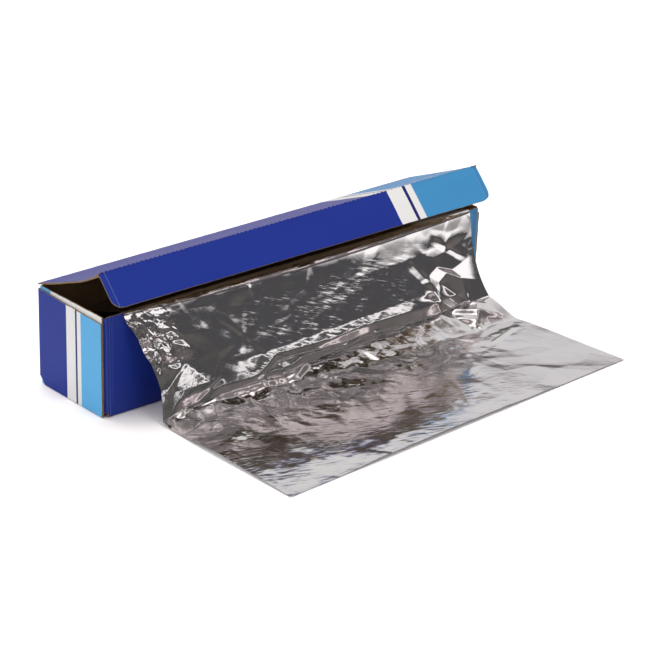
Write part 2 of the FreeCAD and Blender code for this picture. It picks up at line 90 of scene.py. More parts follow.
def bell(value: float, middle: float, width: float) -> float:
    """Returns 1 at the middle, falling softly to 0 a few widths away."""
    return math.exp(-((value - middle) / width) ** 2)


def joint_place(name: str) -> Vector:
    """Returns the place of a joint's axis from the frame."""
    return next(Vector(joint["pos_m"]) for joint in frame["joints"] if joint["name"] == name)


def link(item: bpy.types.Object) -> bpy.types.Object:
    """Puts an object into the scene and returns it."""
    bpy.context.scene.collection.objects.link(item)
    return item


def add_mesh(name: str, shape: bmesh.types.BMesh,
             materials: list[bpy.types.Material]) -> bpy.types.Object:
    """Makes an object of a finished shape.

    Args:
        name: name of the object and its mesh.
        shape: its shape, which is used up.
        materials: its materials, in the order of their slots.

    Returns:
        The object, which is in the scene.
    """
    mesh = bpy.data.meshes.new(name)
    shape.to_mesh(mesh)
    shape.free()
    for material in materials:
        mesh.materials.append(material)
    return link(bpy.data.objects.new(name, mesh))


@dataclass(frozen=True)
class CartonSizes:
    """Sizes of the folded board, read from the frame's nodes and joints."""

    half: float
    front: float
    back: float
    front_top: float
    crease: Vector
    fold: Vector
    board: float = 1.6 * MM
    glue_gap: float = 0.3 * MM
    fold_outer: float = 2.4 * MM
    end_fold: float = 1.6 * MM
    mitre: float = math.radians(46.0)
    front_score: float = 7.9 * MM
    flap_score: float = 5.95 * MM
    tooth_pitch: float = 5.2 * MM
    tooth_height: float = 0.55 * MM
    lid_cut: float = 1.65 * MM
    lid_sag_left: float = 4.5 * MM
    lid_sag_right: float = 0.8 * MM
    flap_depth: float = 38.5 * MM
    flap_corner: float = 11.0 * MM
    outer_flap_back: float = 99.8 * MM
    outer_flap_front: float = 97.2 * MM
    outer_flap_low: float = 0.3 * MM
    outer_flap_setback: float = 3.5 * MM
    outer_flap_corner: float = 8.0 * MM
    inner_flap_back: float = 102.8 * MM
    inner_flap_front: float = 103.6 * MM
    inner_flap_setback: float = 4.4 * MM
    dust_flap_width: float = 62.0 * MM
    dust_flap_drop: float = 22.0 * MM

    @classmethod
    def from_frame(cls) -> "CartonSizes":
        """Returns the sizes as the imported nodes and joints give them."""
        low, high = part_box("carton")
        return cls(half=high.x, front=low.y, back=high.y, front_top=high.z - 0.8 * MM,
                   crease=joint_place("lid_crease"), fold=joint_place("flap_fold"))

    @property
    def layer(self) -> float:
        """Thickness of one layer of an end with its glue line."""
        return self.board + self.glue_gap

    @property
    def lid_depth(self) -> float:
        """Length of the lid panel from crease to fold."""
        return (self.fold - self.crease).length

    @property
    def lid_ahead(self) -> Vector:
        """Direction along the lid, from its crease to its fold."""
        return (self.fold - self.crease).normalized()

    @property
    def flap_down(self) -> Vector:
        """Direction along the front flap, from its fold to its edge."""
        low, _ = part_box("lid_flap")
        return Vector((0.0, low.y - self.fold.y, low.z - self.fold.z)).normalized()

    @staticmethod
    def printed_side(run: Vector) -> Vector:
        """Direction out of the printed face of a panel that runs a given way."""
        up = Vector((1, 0, 0)).cross(run)
        return up if up.z > 0 else -up

    def fold_tooth(self, along: float) -> Vector:
        """Returns how far the crushed flutes stand up at a place along the fold."""
        wave = math.sin(math.tau * along / self.tooth_pitch)
        rough = 1.1 * noise.noise(Vector((along / (2.6 * MM), 0.0, 9.0)))
        return self.printed_side(self.lid_ahead) * (self.tooth_height * (wave + rough))


class Ink(Enum):
    """Colours of the board: printed inks, bare liner and flutes, and the painted shade of the
    hollows between the flutes.
    """

    DARK_BLUE = (0.006, 0.024, 0.235)
    LINE_BLUE = (0.008, 0.012, 0.120)
    LIGHT_BLUE = (0.045, 0.240, 0.480)
    PALE_BLUE = (0.090, 0.380, 0.680)
    WHITE = (0.700, 0.715, 0.705)
    KRAFT = (0.330, 0.235, 0.130)
    # Painted shade in the open flute hollows of a cut edge.
    FLUTE_SHADE = (0.070, 0.045, 0.022)
    GREYBOARD = (0.300, 0.235, 0.165)


class Nodes:
    """Short way of wiring the nodes of a material or of the world."""

    def __init__(self, tree: bpy.types.NodeTree) -> None:
        """Empties the tree and keeps it."""
        tree.nodes.clear()
        self.tree = tree

    def add(self, kind: str, settings: dict[str, object] | None = None,
            **inputs: object) -> bpy.types.Node:
        """Adds a node, sets its properties and feeds its inputs.

        Args:
            kind: the node's type without its ShaderNode prefix.
            settings: properties of the node, by name.
            **inputs: values or output sockets for its inputs, by name, or
                by place where the key is "in" and a number.

        Returns:
            The new node.
        """
        node = self.tree.nodes.new("ShaderNode" + kind)
        for key, value in (settings or {}).items():
            setattr(node, key, value)
        for key, value in inputs.items():
            number = key.removeprefix("in")
            socket = node.inputs[int(number) if number.isdigit() else key.replace("_", " ")]
            if isinstance(value, bpy.types.NodeSocket):
                self.tree.links.new(value, socket)
            else:
                socket.default_value = (*value, 1.0) if socket.type == "RGBA" else value
        return node

    def maths(self, operation: str, *values: object) -> bpy.types.NodeSocket:
        """Returns what a Math node makes of its values or sockets."""
        places = {f"in{place}": value for place, value in enumerate(values)}
        return self.add("Math", {"operation": operation}, **places).outputs[0]

    def times(self, first: object, second: object) -> bpy.types.NodeSocket:
        """Returns the product of two values."""
        return self.maths("MULTIPLY", first, second)

    def line(self, value: object, slope: float, start: object) -> bpy.types.NodeSocket:
        """Returns a value times a slope, plus a start."""
        return self.maths("MULTIPLY_ADD", value, slope, start)

    def off(self, value: object, middle: float) -> bpy.types.NodeSocket:
        """Returns how far a value is off a middle, either way."""
        return self.maths("ABSOLUTE", self.maths("SUBTRACT", value, middle))

    def held(self, value: object, low: float, high: float) -> bpy.types.NodeSocket:
        """Returns a value held between two limits."""
        return self.maths("MINIMUM", self.maths("MAXIMUM", value, low), high)

    def wave(self, value: object, pitch: float) -> bpy.types.NodeSocket:
        """Returns a sine along a value."""
        return self.maths("SINE", self.times(value, math.tau / pitch))

    def attribute(self, name: str) -> bpy.types.NodeSocket:
        """Returns a mesh attribute's value."""
        return self.add("Attribute", {"attribute_name": name}).outputs["Fac"]

    def place(self) -> bpy.types.NodeSocket:
        """Returns the place in the object's own coordinates."""
        return self.add("TexCoord").outputs["Object"]

    def from_axis(self, node: str) -> tuple[bpy.types.NodeSocket, ...]:
        """Returns X, and Y and Z off the axis of one of the frame's nodes."""
        x, y, z = self.add("SeparateXYZ", Vector=self.place()).outputs
        low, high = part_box(node)
        centre = (low + high) / 2
        return x, self.maths("SUBTRACT", y, centre.y), self.maths("SUBTRACT", z, centre.z)

    def combine(self, first: object, second: object) -> bpy.types.NodeSocket:
        """Returns a flat vector made of two values."""
        return self.add("CombineXYZ", X=first, Y=second, Z=0.0).outputs[0]

    def noise(self, place: object, scale: float, detail: float,
              roughness: float = 0.5) -> bpy.types.NodeSocket:
        """Returns a cloudy noise."""
        return self.add("TexNoise", Vector=place, Scale=scale, Detail=detail,
                        Roughness=roughness).outputs[0]

    def grain(self, place: object, scale: tuple[float, ...], detail: float,
              roughness: float = 0.5) -> bpy.types.NodeSocket:
        """Returns a noise with its own scale each way."""
        stretched = self.add("Mapping", Vector=place, Scale=scale)
        return self.noise(stretched.outputs[0], 1.0, detail, roughness)

    def cells(self, place: object, scale: float,
              feature: str = "DISTANCE_TO_EDGE") -> bpy.types.NodeSocket:
        """Returns the distance that a Voronoi texture gives."""
        return self.add("TexVoronoi", {"feature": feature}, Vector=place,
                        Scale=scale).outputs["Distance"]

    def blend(self, share: object, first: object, second: object,
              way: str = "MIX") -> bpy.types.NodeSocket:
        """Returns the mix of two colours by a share."""
        return self.add("Mix", {"data_type": "RGBA", "blend_type": way}, in0=share,
                        in6=first, in7=second).outputs[2]

    def ramp(self, value: object, stops: list[tuple[float, Colour]],
             stepped: bool = False) -> bpy.types.NodeSocket:
        """Adds a colour ramp.

        Args:
            value: the value that runs along it.
            stops: places and colours.
            stepped: whether the colours change without a blend.

        Returns:
            Its colour socket.
        """
        node = self.add("ValToRGB", Fac=value)
        ramp = node.color_ramp
        ramp.interpolation = "CONSTANT" if stepped else "LINEAR"
        while len(ramp.elements) < len(stops):
            ramp.elements.new(0.5)
        for element, (place, colour) in zip(ramp.elements, stops):
            element.position = place
            element.color = (*colour, 1.0)
        return node.outputs[0]

    def coat(self, colour: object, roughness: object, height: object, strength: float,
             depth: float, **inputs: object) -> bpy.types.Node:
        """Adds a shader with a bump.

        Args:
            colour: its base colour.
            roughness: its roughness.
            height: height of the bump.
            strength: strength of the bump.
            depth: depth of the bump at full height.
            **inputs: further inputs of the shader.

        Returns:
            The shader.
        """
        bump = self.add("Bump", Strength=strength, Distance=depth, Height=height)
        return self.add("BsdfPrincipled", Base_Color=colour, Roughness=roughness,
                        Normal=bump.outputs[0], **inputs)


@dataclass(frozen=True)
class Finish:
    """A finish of a surface, which can make its material."""

    name: str

    def shader(self, nodes: Nodes) -> bpy.types.Node:
        """Returns the shader of the finish."""
        raise NotImplementedError(self.name)

    def make(self) -> bpy.types.Material:
        """Returns the material of the finish."""
        material = bpy.data.materials.new(self.name)
        material.use_nodes = True
        nodes = Nodes(material.node_tree)
        nodes.add("OutputMaterial", Surface=self.shader(nodes).outputs[0])
        return material


@dataclass(frozen=True)
class PrintedBoard(Finish):
    """Coated printing on fluted board, with a band of stripes between two fields.

    Attributes:
        start: where the band starts along the panel.
        width: width of the whole band.
        light: ink beyond the band.
        ground: ink of the field before the band.
        glare_band: where a crushed band across the panel carries painted glare highlights, or None;
            the print is then also darkened all over as painted shade.
        score: distance of a scored crease from the carton's middle, where painted highlight and
            shade lines run, or None.
        gloss: how strongly the coating mirrors.
    """

    start: float
    width: float = 32.0 * MM
    light: Ink = Ink.LIGHT_BLUE
    ground: Ink = Ink.DARK_BLUE
    glare_band: float | None = None
    score: float | None = None
    gloss: float = 0.22

    def field(self, nodes: Nodes) -> bpy.types.NodeSocket:
        """Returns the colour of the print's fields and stripes."""
        past = nodes.maths("SUBTRACT", nodes.attribute("length"), self.start)
        third = nodes.maths("ADD", nodes.maths("DIVIDE", past, 3 * self.width), 1 / 3)
        inks = ((0.0, Ink.WHITE), (0.62, Ink.LINE_BLUE), (0.74, Ink.WHITE), (1.0, self.light))
        stops = [((1 + share) / 3, ink.value) for share, ink in inks]
        return nodes.ramp(third, [(0.0, self.ground.value)] + stops, stepped=True)

    def paint_crease_light(self, nodes: Nodes, colour: bpy.types.NodeSocket) -> bpy.types.NodeSocket:
        """Returns the print with a painted highlight line and a painted shade line along each
        scored crease.
        """
        past = nodes.maths("SUBTRACT", nodes.off(nodes.attribute("length"), 0.0), self.score)
        # Painted highlight: a pale line on the crease.
        highlight_line = nodes.maths("LESS_THAN", nodes.off(past, 0.0), 0.5 * MM)
        # Painted shade: a dark line just beside the crease.
        groove = nodes.maths("LESS_THAN", nodes.off(past, 1.3 * MM), 0.7 * MM)
        highlighted = nodes.blend(nodes.times(highlight_line, 0.20), colour, (0.30, 0.40, 0.80))
        return nodes.blend(nodes.times(groove, 0.25), highlighted, (0.004, 0.010, 0.08))

    def paint_glare_and_shade(self, nodes: Nodes, colour: bpy.types.NodeSocket) -> bpy.types.NodeSocket:
        """Returns the print darkened all over as painted shade, with painted glare highlights in
        white dashes along a crushed band.
        """
        across = nodes.attribute("girth")
        run = nodes.combine(nodes.attribute("length"), across)
        glare_dashes = nodes.grain(run, (150.0, 700.0, 1.0), 2.0)
        near = nodes.held(nodes.line(nodes.off(across, self.glare_band), -1 / (10 * MM), 2.0), 0.0, 1.0)
        # Painted glare highlights: white dashes near the crushed band.
        glare = nodes.held(nodes.line(glare_dashes, 12.0, -6.9), 0.0, 0.38)
        # Painted shade: the whole print is darkened toward grey-violet.
        shaded = nodes.blend(0.40, colour, (0.095, 0.080, 0.115))
        return nodes.blend(nodes.times(glare, near), shaded, Ink.WHITE.value)

    def shader(self, nodes: Nodes) -> bpy.types.Node:
        """Returns the printed board's shader."""
        place = nodes.place()
        mottle = nodes.noise(place, 260.0, 4.0, 0.65)
        speck = nodes.ramp(nodes.noise(place, 900.0, 2.0),
                           [(0.0, (0, 0, 0)), (0.70, (0, 0, 0)), (0.78, (1, 1, 1))])
        colour = nodes.blend(nodes.times(mottle, 0.02), self.field(nodes), (0.30, 0.34, 0.52))
        colour = nodes.blend(nodes.times(speck, 0.03), colour, Ink.WHITE.value)
        # Painted shade over the whole print, and painted glare highlights along its crushed band.
        if self.glare_band is not None:
            colour = self.paint_glare_and_shade(nodes, colour)
        # Painted highlight and shade lines along the scored creases.
        if self.score is not None:
            colour = self.paint_crease_light(nodes, colour)
        height = nodes.line(nodes.wave(nodes.attribute("length"), FLUTE_PITCH), 0.25, mottle)
        return nodes.coat(colour, nodes.line(mottle, 0.25, 0.34), height, 0.16, 0.4 * MM,
                          Specular_IOR_Level=self.gloss)


@dataclass(frozen=True)
class BareKraft(Finish):
    """Unprinted brown liner on the inside of the board."""

    name: str = "bare_kraft"
    fibre: float = 420.0

    def shader(self, nodes: Nodes) -> bpy.types.Node:
        """Returns the liner's shader, with fibres and faint flute lines."""
        place = nodes.place()
        fibres = nodes.grain(place, (self.fibre, self.fibre / 4, self.fibre / 4), 5.0, 0.7)
        clouds = nodes.noise(place, 30.0, 3.0)
        dark, pale = (tuple(value * tone for value in Ink.KRAFT.value) for tone in (0.62, 1.18))
        colour = nodes.blend(fibres, dark, Ink.KRAFT.value)
        colour = nodes.blend(nodes.times(clouds, 0.5), colour, pale)
        height = nodes.line(nodes.wave(nodes.attribute("length"), FLUTE_PITCH), 0.3, fibres)
        return nodes.coat(colour, 0.86, height, 0.3, 0.4 * MM)


@dataclass(frozen=True)
class RawEdge(Finish):
    """Cut edge of the board: two liners with the fluted medium between, the hollows between them
    dark with painted shade.
    """

    name: str = "raw_edge"
    swing: float = 0.34
    medium: float = 0.14
    liner: float = 0.36

    def shader(self, nodes: Nodes) -> bpy.types.Node:
        """Returns the edge's shader, its flutes drawn through the thickness and the hollows between
        them in painted shade.
        """
        through = nodes.attribute("through")
        run = nodes.maths("ADD", nodes.attribute("length"), nodes.attribute("girth"))
        middle = nodes.line(nodes.wave(run, FLUTE_PITCH), self.swing, 0.5)
        medium = nodes.maths("LESS_THAN", nodes.off(through, middle), self.medium)
        liner = nodes.maths("GREATER_THAN", nodes.off(through, 0.5), self.liner)
        solid = nodes.maths("MAXIMUM", medium, liner)
        fray = nodes.noise(nodes.place(), 1500.0, 3.0)
        # Painted shade: the hollows between liners and medium are dark.
        colour = nodes.blend(solid, Ink.FLUTE_SHADE.value, (0.30, 0.205, 0.105))
        colour = nodes.blend(nodes.times(fray, 0.30), colour, (0.46, 0.34, 0.20))
        return nodes.coat(colour, 0.92, nodes.maths("ADD", solid, fray), 0.6, 0.6 * MM)


@dataclass(frozen=True)
class BrightFoil(Finish):
    """Bright rolled aluminium foil with rolling lines and fine crinkle."""

    name: str = "drawn_foil"
    roughness: float = 0.12
    crinkle: float = 0.55
    slant: float = math.radians(-22)

    def shader(self, nodes: Nodes) -> bpy.types.Node:
        """Returns the foil's shader, which follows the sheet's own flat run."""
        flat = nodes.combine(nodes.attribute("flat_across"), nodes.attribute("flat_along"))
        rolling = nodes.grain(flat, (900.0, 14.0, 1.0), 3.0, 0.6)
        slanted = nodes.add("Mapping", Vector=flat, Rotation=(0.0, 0.0, self.slant)).outputs[0]
        thin = nodes.add("Mapping", Vector=slanted, Scale=(62.0, 290.0, 1.0)).outputs[0]
        leaf = nodes.line(nodes.cells(thin, 0.8, "F1"), 0.5, nodes.noise(thin, 1.0, 2.0))
        cluster = nodes.held(nodes.line(nodes.noise(flat, 34.0, 2.0, 0.6), 3.8, -1.35), 0.06, 1.0)
        stroke = nodes.times(nodes.times(leaf, cluster), nodes.attribute("streaked"))
        fold = nodes.maths("MAXIMUM", nodes.line(nodes.cells(flat, 38.0), -22.0, 1.0), 0.0)
        cell = nodes.maths("MINIMUM", nodes.cells(flat, 170.0), 0.25)
        bent = nodes.line(cell, 2.4, nodes.noise(flat, 110.0, 2.0))
        height = nodes.times(bent, nodes.attribute("crumpled"))
        for relief, strength in ((rolling, 0.010), (stroke, 0.26), (fold, 0.018)):
            height = nodes.line(relief, strength, height)
        hazy = nodes.line(rolling, 0.10, self.roughness - 0.05)
        return nodes.coat((0.71, 0.705, 0.71), hazy, height, self.crinkle, 1.6 * MM, Metallic=1.0)


@dataclass(frozen=True)
class WoundEdge(Finish):
    """Foil of the wound roll: bright round its girth, ringed on its ends."""

    name: str = "wound_foil"
    turn_pitch: float = 0.35 * MM

    def shader(self, nodes: Nodes) -> bpy.types.Node:
        """Returns the wound foil's shader."""
        _, y, z = nodes.from_axis("foil_roll")
        squares = nodes.maths("ADD", nodes.times(y, y), nodes.times(z, z))
        rings = nodes.wave(nodes.maths("SQRT", squares), self.turn_pitch)
        rolling = nodes.grain(nodes.place(), (900.0, 40.0, 40.0), 3.0)
        return nodes.coat((0.82, 0.82, 0.83), nodes.line(rolling, 0.16, 0.14),
                          nodes.line(rings, 0.3, rolling), 0.25, 0.3 * MM, Metallic=1.0)


@dataclass(frozen=True)
class SpiralCard(Finish):
    """Greyboard of the core, with the spiral seams of its plies."""

    name: str = "core_greyboard"
    seam_pitch: float = 60.0 * MM
    seam_share: float = 0.012

    def shader(self, nodes: Nodes) -> bpy.types.Node:
        """Returns the core's shader."""
        x, y, z = nodes.from_axis("roll_core")
        angle = nodes.maths("DIVIDE", nodes.maths("ARCTAN2", z, y), math.tau)
        turn = nodes.maths("FRACT", nodes.line(x, 1 / self.seam_pitch, angle))
        seam = nodes.maths("LESS_THAN", turn, self.seam_share)
        fibres = nodes.noise(nodes.place(), 500.0, 5.0, 0.7)
        colour = nodes.blend(fibres, (0.20, 0.15, 0.10), Ink.GREYBOARD.value)
        colour = nodes.blend(nodes.times(seam, 0.6), colour, (0.08, 0.06, 0.04))
        return nodes.coat(colour, 0.88, nodes.maths("SUBTRACT", fibres, seam), 0.4, 0.4 * MM)


@dataclass(frozen=True)
class Tinplate(Finish):
    """Bright tinplate of the cutter strip, brushed along its length."""

    name: str = "tinplate"

    def shader(self, nodes: Nodes) -> bpy.types.Node:
        """Returns the strip's shader."""
        brushed = nodes.grain(nodes.place(), (20.0, 1600.0, 1600.0), 3.0)
        return nodes.coat((0.66, 0.66, 0.67), nodes.line(brushed, 0.2, 0.18), brushed, 0.15,
                          0.2 * MM, Metallic=1.0)


@dataclass(frozen=True)
class PaleFloor(Finish):
    """Pale floor that falls away to grey well outside the picture, a painted shade that dims what
    the foil mirrors of it.
    """

    name: str = "pale_floor"
    half_aside: float = 0.50
    half_ahead: float = 0.98

    def shader(self, nodes: Nodes) -> bpy.types.Node:
        """Returns the floor's shader."""
        x, y, _ = nodes.add("SeparateXYZ", Vector=nodes.place()).outputs
        aside = nodes.off(nodes.maths("DIVIDE", x, self.half_aside), 0.0)
        ahead = nodes.off(nodes.maths("DIVIDE", y, self.half_ahead), 0.0)
        away = nodes.maths("DIVIDE", nodes.maths("MAXIMUM", aside, ahead), 4.0)
        # Painted shade: the floor turns grey well away from the carton.
        pale, shade_grey = (0.93, 0.93, 0.935), (0.30, 0.30, 0.30)
        colour = nodes.ramp(away, [(0.0, pale), (0.25, pale), (0.50, shade_grey)])
        return nodes.add("BsdfPrincipled", Base_Color=colour, Roughness=0.75)


class Skin(Enum):
    """Marks that the faces of a panel carry until it is joined to its piece."""

    RAW = 100
    KRAFT = 101


class BoardPanel:
    """One flat cut of board that is folded to its place and given its thickness."""

    def __init__(self, corners: list[Pair], print_slot: int = 0) -> None:
        """Starts the panel as a flat outline.

        Args:
            corners: outline in the board's own run: along the carton and
                round its girth.
            print_slot: material slot of its printed face.
        """
        self.mesh = bmesh.new()
        self.print_slot = print_slot
        points = [self.mesh.verts.new((along, girth, 0.0)) for along, girth in corners]
        self.mesh.faces.new(points)

    def round_corners(self, chosen: Callable[[Vector], bool], radius: float) -> None:
        """Rounds those corners of the flat outline that a test chooses by their place."""
        corners = [vert for vert in self.mesh.verts if chosen(vert.co)]
        bmesh.ops.bevel(self.mesh, geom=corners, offset=radius, offset_type="OFFSET",
                        affect="VERTICES", segments=7, profile=0.5, material=-1)

    def slice(self, along: list[float], girth: list[float]) -> None:
        """Cuts the flat outline into strips both ways, so that it can bend."""
        for axis, places in ((Vector((1, 0, 0)), along), (Vector((0, 1, 0)), girth)):
            for place in places:
                bmesh.ops.bisect_plane(
                    self.mesh, geom=self.mesh.verts[:] + self.mesh.edges[:] + self.mesh.faces[:],
                    dist=1e-7, plane_co=axis * place, plane_no=axis)

    def fold(self, place: Place, board: float, ragged: Field,
             mitres: Callable[[Vector], Vector] | None = None) -> "BoardPanel":
        """Folds the outline to its place and extrudes the board inwards.

        Args:
            place: gives a point of the printed face from its flat run.
            board: thickness of the board.
            ragged: how far a cut edge stands out at a flat point.
            mitres: shift of the inner face at a flat point, for a crease.

        Returns:
            The panel.
        """
        mesh = self.mesh
        length = mesh.verts.layers.float.new("length")
        girth = mesh.verts.layers.float.new("girth")
        through = mesh.verts.layers.float.new("through")
        flat = {}
        for vert in mesh.verts:
            vert[length], vert[girth] = vert.co.x, vert.co.y
            flat[vert] = vert.co.copy()
        self.fray(ragged)
        for vert in mesh.verts:
            vert.co = place(vert.co.x, vert.co.y)
        mesh.normal_update()
        outward = sum(face.normal.dot(face.calc_center_median() - INSIDE) * face.calc_area()
                      for face in mesh.faces)
        turn = 1.0 if outward > 0 else -1.0
        normals = {vert: vert.normal * turn for vert in mesh.verts}
        grown = bmesh.ops.extrude_face_region(mesh, geom=mesh.faces[:], use_keep_orig=True)
        outer = {tuple(vert.co): vert for vert in normals}
        for item in grown["geom"]:
            if isinstance(item, bmesh.types.BMVert):
                source = outer[tuple(item.co)]
                item[through] = 1.0
                item.co = item.co - normals[source] * board
                if mitres:
                    item.co += mitres(flat[source])
        self.mark(through)
        return self

    def mark(self, through: bmesh.types.BMLayerItem) -> None:
        """Marks the printed, cut and inner faces, and the sharp edges between them."""
        for face in self.mesh.faces:
            depth = sum(vert[through] for vert in face.verts) / len(face.verts)
            face.material_index = (self.print_slot if depth == 0.0
                                   else Skin.RAW.value if depth < 1.0 else Skin.KRAFT.value)
            face.smooth = depth in (0.0, 1.0)
        for edge in self.mesh.edges:
            edge.smooth = len({face.material_index for face in edge.link_faces}) == 1

    def fray(self, ragged: Field) -> None:
        """Moves the outline's edge in and out as torn or cut board has it."""
        for vert in self.mesh.verts:
            open_edges = [edge for edge in vert.link_edges if edge.is_boundary]
            if len(open_edges) != 2:
                continue
            run = (open_edges[1].other_vert(vert).co - open_edges[0].other_vert(vert).co)
            if run.length < 1e-9:
                continue
            aside = Vector((run.y, -run.x, 0.0)).normalized()
            inward = sum((face.calc_center_median() - vert.co for face in vert.link_faces),
                         Vector())
            if aside.dot(inward) > 0:
                aside.negate()
            vert.co += aside * ragged(vert.co.x, vert.co.y)


def steps(low: float, high: float, step: float) -> list[float]:
    """Returns evenly spaced cuts between two limits, the limits left out."""
    count = max(1, round((high - low) / step))
    return [low + (high - low) * index / count for index in range(1, count)]


def bend_cuts(start: float, radius: float) -> list[float]:
    """Returns the cuts of a quarter bend, its limits among them."""
    return [start + radius * math.pi / 2 * share / 4 for share in range(5)]


def corner_run(run: float, leg: float, radius: float) -> Pair:
    """Follows a wall, the corner at its end and the wall beyond.

    Args:
        run: how far it is followed.
        leg: length of the first wall up to the bend.
        radius: radius of the bend.

    Returns:
        How far past the bend's start, and how far aside of the first wall.
    """
    quarter = radius * math.pi / 2
    if run <= leg:
        return run - leg, 0.0
    if run <= leg + quarter:
        turn = (run - leg) / radius
        return radius * math.sin(turn), radius - radius * math.cos(turn)
    return radius, radius + run - leg - quarter


def frayed(depth: float, grain: float) -> Field:
    """Returns a ragged edge of a given depth and grain."""
    def ragged(along: float, girth: float) -> float:
        """Depth of the fray at a flat point."""
        place = Vector((along / grain, girth / grain, 3.7))
        return depth * (noise.noise(place) + 0.5 * noise.noise(place * 3.1))
    return ragged


def seat(piece: bpy.types.Object, body: str, node: str) -> bpy.types.Object:
    """Puts a piece in the place of a node.

    Args:
        piece: the piece.
        body: body that it rides on.
        node: node that it replaces.

    Returns:
        The piece.
    """
    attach(piece, body)
    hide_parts(node)
    LOG.info("%s on %s stands for %s", piece.name, body, node)
    return piece


@dataclass
class BoardPart:
    """What the pieces of the carton share: sizes and the unprinted board."""

    sizes: CartonSizes
    kraft: bpy.types.Material
    raw: bpy.types.Material

    def join(self, name: str, panels: list[BoardPanel],
             prints: list[bpy.types.Material]) -> bpy.types.Object:
        """Joins folded panels to one piece.

        Args:
            name: name of the piece.
            panels: its panels, which are used up.
            prints: materials of its printed faces.

        Returns:
            The piece.
        """
        slots = {Skin.KRAFT.value: len(prints), Skin.RAW.value: len(prints) + 1}
        joined = bmesh.new()
        for panel in panels:
            for face in panel.mesh.faces:
                face.material_index = slots.get(face.material_index, face.material_index)
            bmesh.ops.recalc_face_normals(panel.mesh, faces=panel.mesh.faces[:])
            held = bpy.data.meshes.new("panel")
            panel.mesh.to_mesh(held)
            panel.mesh.free()
            joined.from_mesh(held)
            bpy.data.meshes.remove(held)
        return add_mesh(name, joined, prints + [self.kraft, self.raw])


